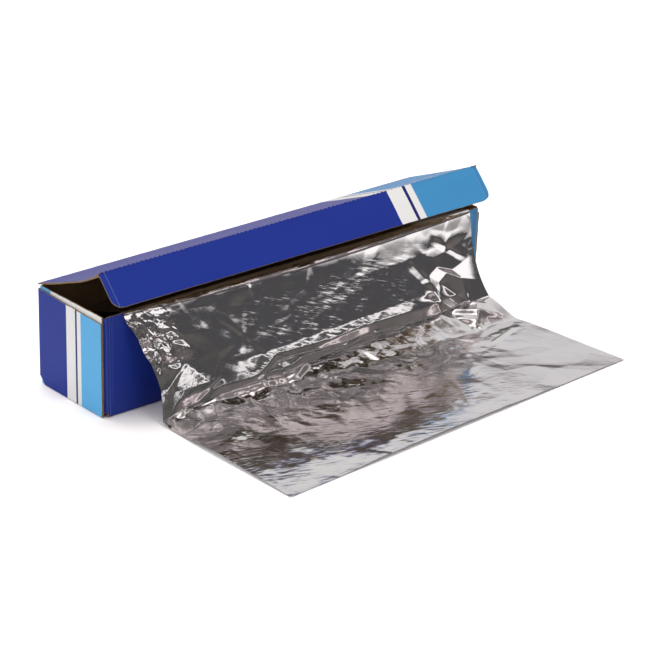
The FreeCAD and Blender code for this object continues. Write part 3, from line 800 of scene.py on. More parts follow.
@dataclass
class Carton(BoardPart):
    """The folded carton without its lid."""

    dish: float = 2.0 * MM
    corner_score: float = 0.8 * MM
    flare: float = 5.0 * MM
    flare_aside: float = 26.0 * MM
    flare_ahead: float = 74.0 * MM

    def flared(self, place: Vector) -> Vector:
        """Returns a place pushed outwards where the right end's front corner gapes."""
        s = self.sizes
        if place.x <= 0:
            return place
        share = ease((place.x - s.half + self.flare_aside) / self.flare_aside)
        front = ease((s.front + self.flare_ahead - place.y) / self.flare_ahead)
        return place + Vector((self.flare * share * (place.z / s.front_top) * front, 0, 0))

    def wrap(self) -> BoardPanel:
        """Returns the front wall, bottom and back wall, folded from one cut."""
        s = self.sizes
        radius = s.fold_outer
        quarter = radius * math.pi / 2
        front_run, back_run = s.front_top - radius, s.crease.z - radius
        bottom_run = s.back - s.front - 2 * radius
        second = front_run + quarter + bottom_run
        total = second + quarter + back_run
        end = s.half - 2 * s.layer - s.board
        panel = BoardPanel([(-end, 0.0), (end, 0.0), (end, total), (-end, total)])
        scores = [side * (end - step * MM) for side in (-1, 1) for step in range(1, 8)]
        panel.slice(steps(-end, end, 6 * MM) + scores,
                    bend_cuts(front_run, radius) + bend_cuts(second, radius)
                    + steps(0.0, front_run, 9 * MM) + steps(total - back_run, total, 20 * MM))

        def place(along: float, girth: float) -> Vector:
            """Folds the wrap's flat run round the carton."""
            if girth <= front_run:
                inward = self.dish * math.sin(math.pi * clamp(girth / front_run))
                inward *= 1 - (along / end) ** 2
                inward += self.corner_score * bell(abs(along), end - 4 * MM, 1.5 * MM)
                return self.flared(Vector((along, s.front + inward, s.front_top - girth)))
            if girth <= second:
                down, behind = corner_run(girth, front_run, radius)
                return Vector((along, s.front + behind, radius - down))
            behind, up = corner_run(girth, second, radius)
            return Vector((along, s.back - radius + behind, up))

        def mitres(flat: Vector) -> Vector:
            """Slopes the back wall's top under the lid crease."""
            at_crease = flat.y > total - 1e-6
            return Vector((0, 0, -s.board * math.tan(s.mitre) if at_crease else 0.0))

        return panel.fold(place, s.board, frayed(0.25 * MM, 4 * MM), mitres)

    def dust_flap(self, side: int) -> BoardPanel:
        """Returns the innermost layer of an end, hinged on the front wall."""
        s = self.sizes
        radius, leg = s.end_fold, s.board
        bent = leg + radius * math.pi / 2
        plane = s.half - 2 * s.layer
        start = plane - s.board
        total = bent + s.dust_flap_width - radius
        low, top = s.layer, s.front_top
        outline = [(0.0, 2 * s.fold_outer), (bent, 2 * s.fold_outer), (bent + 3 * MM, low),
                   (total, low), (total, top - s.dust_flap_drop), (bent + 2 * MM, top - 2 * MM),
                   (leg, top), (0.0, top)]
        panel = BoardPanel([(side * (start + run), height) for run, height in outline])
        cuts = bend_cuts(leg, radius) + steps(bent, total, 8 * MM)
        panel.slice([side * (start + run) for run in cuts], steps(low, top, 8 * MM))

        def place(along: float, height: float) -> Vector:
            """Folds the flap's flat run round the front corner."""
            aside, behind = corner_run(side * along - start, leg, radius)
            return self.flared(Vector((side * (plane - radius + aside), s.front + behind, height)))

        return panel.fold(place, s.board, frayed(0.2 * MM, 4 * MM))

    def inner_flap(self, side: int) -> BoardPanel:
        """Returns the tall middle layer of an end, hinged on the bottom."""
        s = self.sizes
        plane = s.half - s.layer
        start, end = s.front + s.inner_flap_setback, s.back - s.layer
        panel = BoardPanel([(start, 0.0), (end, 0.0), (end, s.inner_flap_back),
                            (start, s.inner_flap_front)], 2)
        panel.slice(steps(start, end, 3 * MM), steps(0.0, s.inner_flap_back, 14 * MM))

        def place(run: float, height: float) -> Vector:
            """Stands the flap up inside the outer one."""
            return self.flared(Vector((side * plane, run, height)))

        return panel.fold(place, s.board, frayed(0.35 * MM, 3 * MM))

    def outer_flap(self, side: int) -> BoardPanel:
        """Returns the outermost layer of an end, hinged on the back wall."""
        s = self.sizes
        radius, leg, low = s.end_fold, 2 * s.layer, s.outer_flap_low
        bent = leg + radius * math.pi / 2
        total = bent + s.back - s.front - s.outer_flap_setback - radius
        panel = BoardPanel([(0.0, s.outer_flap_corner), (bent, s.outer_flap_corner),
                            (bent + s.outer_flap_corner, low), (total, low),
                            (total, s.outer_flap_front), (bent, s.outer_flap_back),
                            (0.0, s.outer_flap_back)], 1)
        panel.slice(bend_cuts(leg, radius) + steps(bent, total, 3 * MM),
                    steps(low, s.outer_flap_front, 5 * MM))

        def place(run: float, height: float) -> Vector:
            """Folds the flap's flat run round the back corner."""
            aside, ahead = corner_run(run, leg, radius)
            return self.flared(Vector((side * (s.half - radius + aside), s.back - ahead, height)))

        return panel.fold(place, s.board, frayed(0.5 * MM, 3.5 * MM))

    def build(self, prints: list[bpy.types.Material]) -> bpy.types.Object:
        """Builds the carton.

        Args:
            prints: materials of the walls, the outer ends and the inner flap.

        Returns:
            The carton piece.
        """
        panels = [self.wrap()]
        for side in (-1, 1):
            panels += [self.dust_flap(side), self.inner_flap(side), self.outer_flap(side)]
        return seat(self.join("carton_board", panels, prints), "carton", "carton")


@dataclass
class LidPanel(BoardPart):
    """The lid panel, a little bowed, with a crushed front edge."""

    def sag(self, share: float) -> float:
        """Returns the lid's bow as a share of its deepest point."""
        places = ((0.0, 0.0), (0.36, 0.62), (0.72, 1.0), (0.9, 0.58), (1.0, 0.0))
        for (start, low), (end, high) in zip(places, places[1:]):
            if share <= end:
                part = (share - start) / (end - start)
                return mix(low, high, 0.5 * ease(part) + 0.5 * part)
        return 0.0

    def build(self, prints: list[bpy.types.Material]) -> bpy.types.Object:
        """Builds the lid panel.

        Args:
            prints: material of its printed face.

        Returns:
            The lid panel piece.
        """
        s = self.sizes
        ahead, depth = s.lid_ahead, s.lid_depth
        up = s.printed_side(ahead)
        crushed_from = depth * 0.8
        panel = BoardPanel([(-s.half, 0.0), (s.half, 0.0), (s.half, depth), (-s.half, depth)])
        panel.slice(steps(-s.half, s.half, s.lid_cut),
                    steps(0.0, crushed_from, 6 * MM) + [crushed_from]
                    + steps(crushed_from, depth, 1.4 * MM))

        def place(along: float, run: float) -> Vector:
            """Bows and crushes the lid's flat run."""
            share = clamp(run / depth)
            across = clamp((along + s.half) / (2 * s.half))
            bow = mix(s.lid_sag_left, s.lid_sag_right, across) * self.sag(share)
            crushed = bell(share, 0.90, 0.055)
            coarse = noise.noise(Vector((along / (14 * MM), run / (2.6 * MM), 1.0)))
            fine = noise.noise(Vector((along / (4 * MM), run / (1.8 * MM), 5.0)))
            dent = crushed * (0.42 * MM * coarse + 0.22 * MM * fine)
            flute = ease((share - 0.985) / 0.015) * ease((1.0005 - share) / 0.0006)
            return s.crease + Vector((along, 0, 0)) + ahead * run \
                - up * (bow + 0.3 * MM * crushed) + up * dent + s.fold_tooth(along) * flute

        def mitres(flat: Vector) -> Vector:
            """Slopes the board's ends under both creases."""
            lean = s.board * math.tan(s.mitre)
            if flat.y < 1e-6:
                return ahead * lean
            return -ahead * lean if flat.y > depth - 1e-6 else Vector()

        panel.fold(place, s.board, frayed(0.3 * MM, 4 * MM), mitres)
        return seat(self.join("lid_board", [panel], prints), "lid", "lid_panel")


@dataclass
class FrontFlap(BoardPart):
    """The front flap that hangs from the lid's fold."""

    groove: float = 0.8 * MM
    end_lean: float = 0.24
    swell: float = 0.5 * MM
    set_in: float = 0.15 * MM

    def build(self, prints: list[bpy.types.Material]) -> bpy.types.Object:
        """Builds the front flap.

        Args:
            prints: material of its printed face.

        Returns:
            The front flap piece.
        """
        s = self.sizes
        down, score = s.flap_down, s.half - s.flap_score
        out = s.printed_side(down)
        panel = BoardPanel([(-s.half, 0.0), (s.half, 0.0), (s.half, s.flap_depth),
                            (-s.half, s.flap_depth)])
        panel.round_corners(lambda place: place.y > s.flap_depth / 2, s.flap_corner)
        ends = [score + step * 0.4 * MM for step in range(-5, 6)]
        panel.slice(sorted(steps(-s.half, s.half, s.lid_cut) + ends + [-end for end in ends]),
                    [0.5 * MM, 1.0 * MM, 2.0 * MM] + steps(2 * MM, s.flap_depth, 5 * MM))

        def place(along: float, run: float) -> Vector:
            """Hangs the flap's flat run from the fold."""
            past = abs(along) - score
            inward = self.groove * bell(past, 0.0, 0.9 * MM) + self.end_lean * max(past, 0.0)
            cloud = noise.noise(Vector((along / (60 * MM), run / (30 * MM), 2.0)))
            outward = self.swell * cloud * ease(run / (8 * MM))
            tooth = s.fold_tooth(along) * ease(1 - run / (0.9 * MM))
            return s.fold + Vector((along, 0, 0)) + down * run \
                - out * (inward + self.set_in - outward) + tooth

        def mitres(flat: Vector) -> Vector:
            """Slopes the board under the fold."""
            return down * s.board * math.tan(s.mitre) if flat.y < 1e-6 else Vector()

        panel.fold(place, s.board, frayed(0.2 * MM, 5 * MM), mitres)
        return seat(self.join("flap_board", [panel], prints), "flap", "lid_flap")


class Scatter(Enum):
    """Scatters of facets: spacing in millimetres, seed, stretch and turn in degrees."""

    HANGING_BROAD = (46.0, 3, 1.0, 0.0)
    HANGING_MIDDLE = (24.0, 14, 1.0, 0.0)
    HANGING_SMALL = (12.0, 5, 1.0, 0.0)
    HANGING_SLANT = (6.5, 41, 3.4, 66.0)
    RIGHT_LARGE = (20.0, 52, 1.0, 0.0)
    EDGE_CRUMPLE = (8.0, 6, 1.0, 0.0)
    BEND_BROAD = (15.0, 17, 1.0, 0.0)
    BEND_CREST = (14.0, 61, 1.0, 0.0)
    BEND_FINE = (5.0, 62, 0.7, 0.0)
    BEND_LONG = (9.0, 12, 5.0, 0.0)
    FOOT_BROAD = (34.0, 21, 1.0, 0.0)
    FOOT_LEFT = (27.0, 81, 1.0, 0.0)
    FOOT_SMALL = (13.0, 8, 1.0, 0.0)
    FOOT_FINE = (7.0, 9, 1.0, 0.0)
    HEEL_LARGE = (17.0, 71, 1.0, 0.0)
    HEEL_FINE = (7.0, 72, 1.0, 0.0)
    TABLE_BROAD = (80.0, 31, 1.0, 0.0)
    TABLE_SMALL = (24.0, 33, 1.0, 0.0)
    TABLE_SLANT = (7.0, 43, 4.0, 74.0)


class FacetField:
    """Crumpled heights: random points joined by flat triangular facets."""

    def __init__(self, width: float, length: float, spacing: float, seed: int,
                 stretch: float = 1.0) -> None:
        """Scatters the points and joins them.

        Args:
            width: width of the sheet, across.
            length: length of the sheet, along.
            spacing: mean distance between points.
            seed: picks the scatter.
            stretch: how much longer the facets are along than across.
        """
        chance = np.random.default_rng(seed)
        step_across, step_along = spacing, spacing * stretch
        across = np.arange(-step_across, width + 2 * step_across, step_across)
        along = np.arange(-step_along, length + 2 * step_along, step_along)
        self.spots = np.array([(u, v) for v in along for u in across])
        self.spots += chance.uniform(-0.48, 0.48, self.spots.shape) * (step_across, step_along)
        self.heights = chance.uniform(-1.0, 1.0, len(self.spots))
        _, _, self.triangles, _, _, _ = delaunay_2d_cdt(
            [Vector(spot) for spot in self.spots], [], [], 0, 1e-6)

    def sample(self, across: np.ndarray, along: np.ndarray) -> np.ndarray:
        """Returns the heights of the facets at the points of a grid.

        Args:
            across: place of each grid point across the sheet.
            along: place of each grid point along it.

        Returns:
            Heights between -1 and 1.
        """
        u, v = across.ravel(), along.ravel()
        order = np.argsort(v)
        sorted_v = v[order]
        result = np.zeros(len(u))
        for corners in self.triangles:
            a, b, c = self.spots[list(corners)]
            low, high = min(a[1], b[1], c[1]), max(a[1], b[1], c[1])
            picked = order[np.searchsorted(sorted_v, low):np.searchsorted(sorted_v, high, "right")]
            area = (b[0] - a[0]) * (c[1] - a[1]) - (c[0] - a[0]) * (b[1] - a[1])
            if not len(picked) or abs(area) < 1e-12:
                continue
            near = (u[picked] >= min(a[0], b[0], c[0])) & (u[picked] <= max(a[0], b[0], c[0]))
            picked = picked[near]
            pu, pv = u[picked], v[picked]
            second = ((pu - a[0]) * (c[1] - a[1]) - (c[0] - a[0]) * (pv - a[1])) / area
            third = ((b[0] - a[0]) * (pv - a[1]) - (pu - a[0]) * (b[1] - a[1])) / area
            first = 1 - second - third
            inside = (first >= -1e-9) & (second >= -1e-9) & (third >= -1e-9)
            ha, hb, hc = self.heights[list(corners)]
            result[picked[inside]] = (first * ha + second * hb + third * hc)[inside]
        return result.reshape(across.shape)


def soft(value: np.ndarray, low: float, high: float) -> np.ndarray:
    """Returns an eased step of an array between two limits, either way round."""
    share = np.clip((value - low) / (high - low), 0.0, 1.0)
    return share * share * (3 - 2 * share)


def hump(value: np.ndarray, middle: float, width: float) -> np.ndarray:
    """Returns an array's soft bell about a middle."""
    return np.exp(-((value - middle) / width) ** 2)


@dataclass(frozen=True)
class FoilRun:
    """Sizes of the drawn length of foil, in millimetres as it was measured.

    Pairs are for the left and the right edge of the sheet.  A shift is how far
    an edge lies to the right of the roll's own end.
    """

    half: float = 228.6
    clear: float = 0.35
    board: float = 1.6
    roll_radius: float = 44.0
    roll_centre: float = 45.9
    reach: Pair = (240.0, 202.0)
    touch: Pair = (58.0, 64.0)
    foot: Pair = (36.0, 25.0)
    wall_shift: Pair = (16.0, -5.0)
    foot_shift: Pair = (28.6, 4.0)
    floor_shift: Pair = (27.0, 9.0)
    belly: Pair = (10.5, -6.0)
    front_left: float = -199.5
    foot_low: float = 3.0
    foot_height: float = 14.0
    nose_reach: float = 9.0
    nose_width: float = 46.0
    bend: float = math.radians(78)
    lowest: float = 0.25
    columns: int = 340
    rows: tuple[int, ...] = (10, 16, 84, 146)


@dataclass(frozen=True)
class Crease:
    """A long crease: its path, and how it stands up.

    Attributes:
        path: its points, as a share across the sheet and a station along it.
        height: height of its crest in millimetres.
        above: width of its slope on the carton's side.
        below: width of its slope on the front side.
        scale: millimetres for one station, where the path runs across.
    """

    path: tuple[Pair, ...]
    height: float
    above: float
    below: float
    scale: float = 100.0

    def rise(self, off: np.ndarray) -> np.ndarray:
        """Returns how high it stands at distances from its path."""
        slope = np.where(off < 0, 1 + off / self.above, 1 - off / self.below)
        return self.height * np.clip(slope, 0, 1)


FOOT_CREASES = (
    Crease(((0.03, 3.03), (0.10, 2.99), (0.147, 3.0), (0.245, 3.03), (0.383, 3.055),
            (0.47, 2.96), (0.593, 2.92), (0.72, 2.945), (0.797, 2.98), (0.95, 2.95)),
           3.6, 11.0, 2.6),
    Crease(((0.26, 3.02), (0.30, 2.955), (0.345, 2.84), (0.508, 2.89), (0.66, 2.90)),
           2.0, 7.0, 2.0),
)
CROSS_CREASES = (
    Crease(((0.383, 3.05), (0.345, 2.85)), 1.2, 8.0, 3.0),
    Crease(((0.10, 2.98), (0.19, 2.80)), 1.0, 6.0, 3.0),
    Crease(((0.15, 3.02), (0.08, 3.30)), 1.1, 10.0, 3.0),
    Crease(((0.24, 3.03), (0.20, 3.38)), 1.0, 9.0, 3.0),
    Crease(((0.36, 3.05), (0.25, 3.34)), 1.0, 12.0, 3.0),
    Crease(((0.79, 2.28), (0.84, 2.62)), 1.4, 8.0, 4.0),
    Crease(((0.82, 2.60), (0.90, 3.06)), 2.4, 7.0, 9.0),
    Crease(((0.86, 2.10), (0.97, 2.50)), 1.2, 6.0, 4.0),
    Crease(((0.93, 3.08), (0.86, 3.20)), 1.2, 5.0, 3.0),
    Crease(((0.87, 3.00), (0.985, 3.15)), 2.4, 6.0, 3.0),
    Crease(((0.85, 3.36), (0.97, 3.27)), 1.5, 5.0, 2.2),
    Crease(((0.30, 2.10), (0.24, 2.70)), 0.6, 14.0, 6.0),
    Crease(((0.20, 2.20), (0.33, 2.86)), 0.8, 14.0, 5.0),
    Crease(((0.55, 3.32), (0.80, 3.25)), 0.6, 9.0, 3.0),
)


class DrawnFoil:
    """The length of foil that runs over the front wall and lies on the table.

    A station tells the part of the run: 0 to 1 from the roll to the wall, to 2
    round the wall's top, to 3 down to the foot, and to 4 along the table.
    """

    def __init__(self, sizes: CartonSizes, run: FoilRun) -> None:
        """Prepares the sheet's grid.

        Args:
            sizes: sizes of the carton.
            run: sizes of the drawn foil.
        """
        self.run = run
        self.front = sizes.front / MM
        self.top = sizes.front_top / MM + run.clear
        rows = [np.linspace(part, part + 1, count, endpoint=False)
                for part, count in enumerate(run.rows[:-1])]
        last = len(run.rows) - 1
        rows.append(np.linspace(last, last + 1, run.rows[-1] + 1))
        self.stations, self.shares = np.meshgrid(
            np.concatenate(rows), np.linspace(0, 1, run.columns + 1), indexing="ij")

    def tangent(self) -> Pair:
        """Returns where the web leaves the roll, as Y and Z."""
        radius = self.run.roll_radius + self.run.clear
        edge_y, edge_z = self.front + self.run.board, self.top
        reach = math.hypot(-edge_y, self.run.roll_centre - edge_z)
        bearing = math.atan2(self.run.roll_centre - edge_z, -edge_y)
        turn = bearing + math.asin(radius / reach)
        length = math.sqrt(reach ** 2 - radius ** 2)
        return edge_y + length * math.cos(turn), edge_z + length * math.sin(turn)

    def smooth_sheet(self) -> np.ndarray:
        """Returns the places of the sheet before it is creased."""
        run, s, t = self.run, self.shares, self.stations
        start_y, start_z = self.tangent()
        wall_y = self.front + run.board

        def blend(ends: Pair) -> np.ndarray:
            """Values that run from the sheet's left edge to its right edge."""
            return ends[0] + (ends[1] - ends[0]) * s

        def edges(shift: Pair) -> np.ndarray:
            """Places along the carton of the sheet with its edges shifted."""
            return blend((-run.half + shift[0], run.half + shift[1]))

        out = 2.0 * (1 - s) * (1 - 2 * s) + 9.0 * 4 * s * (1 - s) + 1.5 * s * (2 * s - 1)
        nose = np.clip(1 - s * 2 * run.half / run.nose_width, 0, 1)
        foot_out = blend(run.foot) + run.nose_reach * nose ** 2
        foot_up = run.foot_low + (run.foot_height - run.foot_low) * soft(s, 0, 1)
        touch, reach = blend(run.touch), blend(run.reach)
        front_width = math.sqrt((2 * run.half) ** 2 - (run.reach[0] - run.reach[1]) ** 2)
        x_roll, x_wall = edges((0.0, 0.0)), edges(run.wall_shift)
        x_foot, x_floor = edges(run.foot_shift), edges(run.floor_shift)
        x_front = run.front_left + front_width * s
        part = np.clip(t, 0, 1)
        x = x_roll + (x_wall - x_roll) * part
        y = start_y + (wall_y - start_y) * part
        z = start_z + (self.top - start_z) * part
        angle = np.clip(t - 1, 0, 1) * run.bend
        bend_y = wall_y - (run.board + out) * np.sin(angle)
        bend_z = self.top - (out * 0.55 + 1.2) * (1 - np.cos(angle))
        y, z = np.where(t > 1, bend_y, y), np.where(t > 1, bend_z, z)
        part = np.clip(t - 2, 0, 1)
        curved = part ** 1.3
        belly = blend(run.belly) * 4 * curved * (1 - curved)
        x = np.where(t > 2, x_wall + (x_foot - x_wall) * part + belly, x)
        y = np.where(t > 2, bend_y + (self.front - foot_out - bend_y) * part ** 1.15, y)
        z = np.where(t > 2, bend_z + (foot_up - bend_z) * part, z)
        part = np.clip(t - 3, 0, 1)
        flat = (touch - foot_out) / (reach - foot_out)
        eased = x_foot + (x_floor - x_foot) * soft(part, 0, 1 / 3)
        x = np.where(t > 3, eased + (x_front - eased) * part, x)
        y = np.where(t > 3, self.front - foot_out + (foot_out - reach) * part, y)
        z = np.where(t > 3, foot_up * (1 - soft(part / flat, 0, 1)), z)
        return np.stack([x, y, z], axis=-1)

    @staticmethod
    def normals(points: np.ndarray) -> np.ndarray:
        """Returns the upward and forward facing normals of a grid."""
        down, side = np.gradient(points, axis=0), np.gradient(points, axis=1)
        normal = np.cross(side, down)
        normal /= np.maximum(np.linalg.norm(normal, axis=-1, keepdims=True), 1e-9)
        return -normal if normal[-1, 0, 2] < 0 else normal

    @staticmethod
    def flat_run(points: np.ndarray) -> np.ndarray:
        """Returns how far along the foil each grid row lies, in millimetres."""
        lengths = np.linalg.norm(np.diff(points, axis=0), axis=-1).mean(axis=1)
        return np.concatenate([[0.0], np.cumsum(lengths)])

    def creases(self, across: np.ndarray, along: np.ndarray) -> tuple[np.ndarray, np.ndarray]:
        """Returns the creased height of the sheet and how finely it is crumpled.

        Args:
            across: flat place of each grid point across the sheet.
            along: flat place of each grid point along it.

        Returns:
            Heights off the smooth sheet in millimetres, and a share from 0 to 1.
        """
        s, t = self.shares, self.stations
        width, length = 2 * self.run.half, float(along.max())

        def facets(scatter: Scatter) -> np.ndarray:
            """Heights of one scatter of facets, turned by its angle."""
            spacing, seed, stretch, turn = scatter.value
            cos, sin = math.cos(math.radians(turn)), math.sin(math.radians(turn))
            field = FacetField(width * cos + length * sin, length * cos + width * sin, spacing,
                               seed, stretch)
            return field.sample(cos * across + sin * along,
                                cos * along - sin * across + sin * width)

        hang = soft(t, 1.95, 2.30) * soft(t, 3.06, 2.96)
        left, right, shoulder = soft(s, 0.27, 0.14), soft(s, 0.78, 0.84), soft(s, 0.57, 0.67)
        middle = soft(s, 0.16, 0.30) * soft(s, 0.86, 0.66)
        calm = shoulder * soft(t, 2.34, 2.24)
        start = 1.68 + 0.30 * soft(s, 0.09, 0.04)
        crinkled = soft(s, 0.125, 0.085) * soft(t - start, 0.0, 0.12) * soft(t, 2.62, 2.52)
        foot = soft(t, 2.97, 3.05) * soft(t, 3.62, 3.24) * soft(s, 1.0, 0.62)
        heel = soft(s, 0.76, 0.86) * soft(s, 1.0, 0.95) * hump(t, 3.10, 0.16)
        table = soft(t, 3.10, 3.35)
        smudge = soft(s, 0.10, 0.26) * soft(s, 0.84, 0.60)
        large = right * soft(s, 1.0, 0.95) * soft(t, 2.12, 2.3) * soft(t, 3.30, 3.0)
        height = 1.6 * hang + 1.3 * foot + 0.8 * table
        height -= 2.4 * shoulder * np.interp(t, (2.0, 2.28, 3.0), (0, 1, 0))
        height += 2.6 * middle * np.interp(t, (2.0, 2.72, 3.0), (0, 1, 0))
        height += 2.3 * smudge * np.interp(t, (3.22, 3.90, 4.0), (0, 1, 0.8))
        height += 4.0 * soft(s, 0.31, 0.15) * np.interp(t, (3.15, 3.46, 3.97), (0, 1, 0))
        height -= 2.4 * hump(s, 0.33, 0.003) * hump(t, 2.0, 0.10)
        height += 0.5 * hump(t, 1.62, 0.07) * 0.6 + self.ridges(across, along)
        for scatter, depth in (
                (Scatter.BEND_CREST, 0.5 * hump(t, 1.62, 0.07)),
                (Scatter.BEND_FINE, 0.42 * hump(t, 1.50, 0.12)),
                (Scatter.BEND_BROAD, 0.7 * soft(t, 1.2, 1.6) * soft(t, 2.3, 2.0)),
                (Scatter.BEND_LONG, (0.18 + 0.5 * left) * soft(t, 0.8, 1.4) * soft(t, 2.3, 1.8)),
                (Scatter.HANGING_BROAD, hang * (0.7 + 0.9 * left) * (1 - 0.9 * calm)),
                (Scatter.HANGING_MIDDLE, hang * (0.32 + 0.9 * left + 0.4 * right) * (1 - calm)),
                (Scatter.HANGING_SMALL,
                 hang * (0.08 + 0.26 * left + 0.08 * right) * (1 - 0.8 * calm)),
                (Scatter.HANGING_SLANT, 0.22 * hang * middle * (1 - 0.8 * calm)),
                (Scatter.RIGHT_LARGE, 3.0 * large),
                (Scatter.EDGE_CRUMPLE, crinkled * (2.1 + 1.1 * soft(t, 2.1, 2.4))),
                (Scatter.HEEL_LARGE, 2.3 * heel),
                (Scatter.HEEL_FINE, 0.35 * heel),
                (Scatter.FOOT_BROAD, 1.2 * foot),
                (Scatter.FOOT_SMALL, 1.05 * foot),
                (Scatter.FOOT_LEFT, 1.9 * foot * soft(s, 0.66, 0.46) * soft(s, 0.0, 0.04)),
                (Scatter.FOOT_FINE, 0.34 * foot),
                (Scatter.TABLE_BROAD, 0.9 * table * soft(s, 1.05, 0.7)),
                (Scatter.TABLE_SMALL, 0.34 * table),
                (Scatter.TABLE_SLANT, 0.18 * table * (0.2 + 0.8 * smudge))):
            height += facets(scatter) * depth
        tight = 0.42 * crinkled + 0.05 * left * hang + 0.10 * foot + 0.01
        return height, np.clip(tight + 0.30 * hump(t, 1.55, 0.12), 0, 1)

    def ridges(self, across: np.ndarray, along: np.ndarray) -> np.ndarray:
        """Returns the heights of the long sharp creases along the foot and beside it."""
        s, t = self.shares, self.stations
        height = np.zeros(s.shape)
        for crease in FOOT_CREASES:
            places, stations = zip(*crease.path)
            ends = soft(s, places[0], places[0] + 0.05) * soft(s, places[-1], places[-1] - 0.05)
            height += crease.rise((t - np.interp(s, places, stations)) * crease.scale) * ends
        for crease in CROSS_CREASES:
            (u0, v0), (u1, v1) = ((share * across.max(), self.place_along(station, along))
                                  for share, station in crease.path)
            reach = math.hypot(u1 - u0, v1 - v0)
            run = ((across - u0) * (u1 - u0) + (along - v0) * (v1 - v0)) / reach ** 2
            off = ((across - u0) * (v1 - v0) - (along - v0) * (u1 - u0)) / reach
            height += crease.rise(off) * soft(run, -0.02, 0.25) * soft(run, 1.02, 0.75)
        return height

    def streaks(self) -> np.ndarray:
        """Returns where the sheet is rubbed into fine slanting streaks."""
        s, t = self.shares, self.stations
        hanging = soft(s, 0.20, 0.34) * soft(s, 0.88, 0.66) * soft(t, 2.05, 2.20)
        hanging = hanging * soft(t, 3.0, 2.80)
        table = soft(t, 3.05, 3.35) * (0.12 + 0.88 * soft(s, 0.80, 0.52))
        return 1.5 * hanging + 1.2 * table + 0.05

    def place_along(self, station: float, along: np.ndarray) -> float:
        """Returns the flat run of a station."""
        return float(np.interp(station, self.stations[:, 0], along[:, 0]))

    def build(self, material: bpy.types.Material) -> bpy.types.Object:
        """Builds the drawn foil.

        Args:
            material: finish of the foil.

        Returns:
            The sheet of foil.
        """
        points = self.smooth_sheet()
        rows = self.flat_run(points)
        along = np.repeat(rows[:, None], points.shape[1], axis=1)
        across = self.shares * 2 * self.run.half
        height, tight = self.creases(across, along)
        points = points + self.normals(points) * height[..., None]
        points[..., 2] = np.maximum(points[..., 2], self.run.lowest)
        last_row, last_column = points.shape[0] - 1, points.shape[1] - 1
        grid = bmesh.new()
        bmesh.ops.create_grid(grid, x_segments=last_column, y_segments=last_row, size=0.5)
        fields = {"flat_across": across * MM, "flat_along": along * MM, "crumpled": tight,
                  "streaked": self.streaks()}
        layers = [(grid.verts.layers.float.new(name), field) for name, field in fields.items()]
        for vert in grid.verts:
            spot = (round((vert.co.y + 0.5) * last_row), round((vert.co.x + 0.5) * last_column))
            for layer, field in layers:
                vert[layer] = field[spot]
            vert.co = points[spot] * MM
        for face in grid.faces:
            face.smooth = True
        bmesh.ops.recalc_face_normals(grid, faces=grid.faces[:])
        foil = seat(add_mesh("drawn_foil", grid, [material]), "carton", "foil_sheet")
        return foil


ROOM_FRONT = ((0.0, (0.076, 0.077, 0.082)), (0.16, (0.088, 0.089, 0.092)),
              (0.30, (0.150, 0.142, 0.135)), (0.55, (0.20, 0.175, 0.178)),
              (0.62, (0.24, 0.21, 0.21)), (0.64, (1.15, 1.02, 1.03)), (0.69, (1.15, 1.02, 1.03)),
              (0.71, (0.27, 0.235, 0.24)), (0.82, (0.24, 0.21, 0.215)),
              (0.87, (0.36, 0.33, 0.33)), (0.905, (0.66, 0.63, 0.625)), (0.965, (1.9, 1.8, 1.8)))
ROOM_BACK = ((0.0, (0.06, 0.06, 0.054)), (0.26, (0.105, 0.097, 0.095)),
             (0.34, (0.21, 0.184, 0.186)), (0.39, (0.84, 0.85, 0.855)),
             (0.72, (0.90, 0.90, 0.90)), (0.90, (0.72, 0.69, 0.69)), (0.965, (1.9, 1.8, 1.8)))
ROOM_TINTS = ((0.42, (1.0, 0.995, 0.94)), (0.55, (1.0, 0.955, 0.975)))


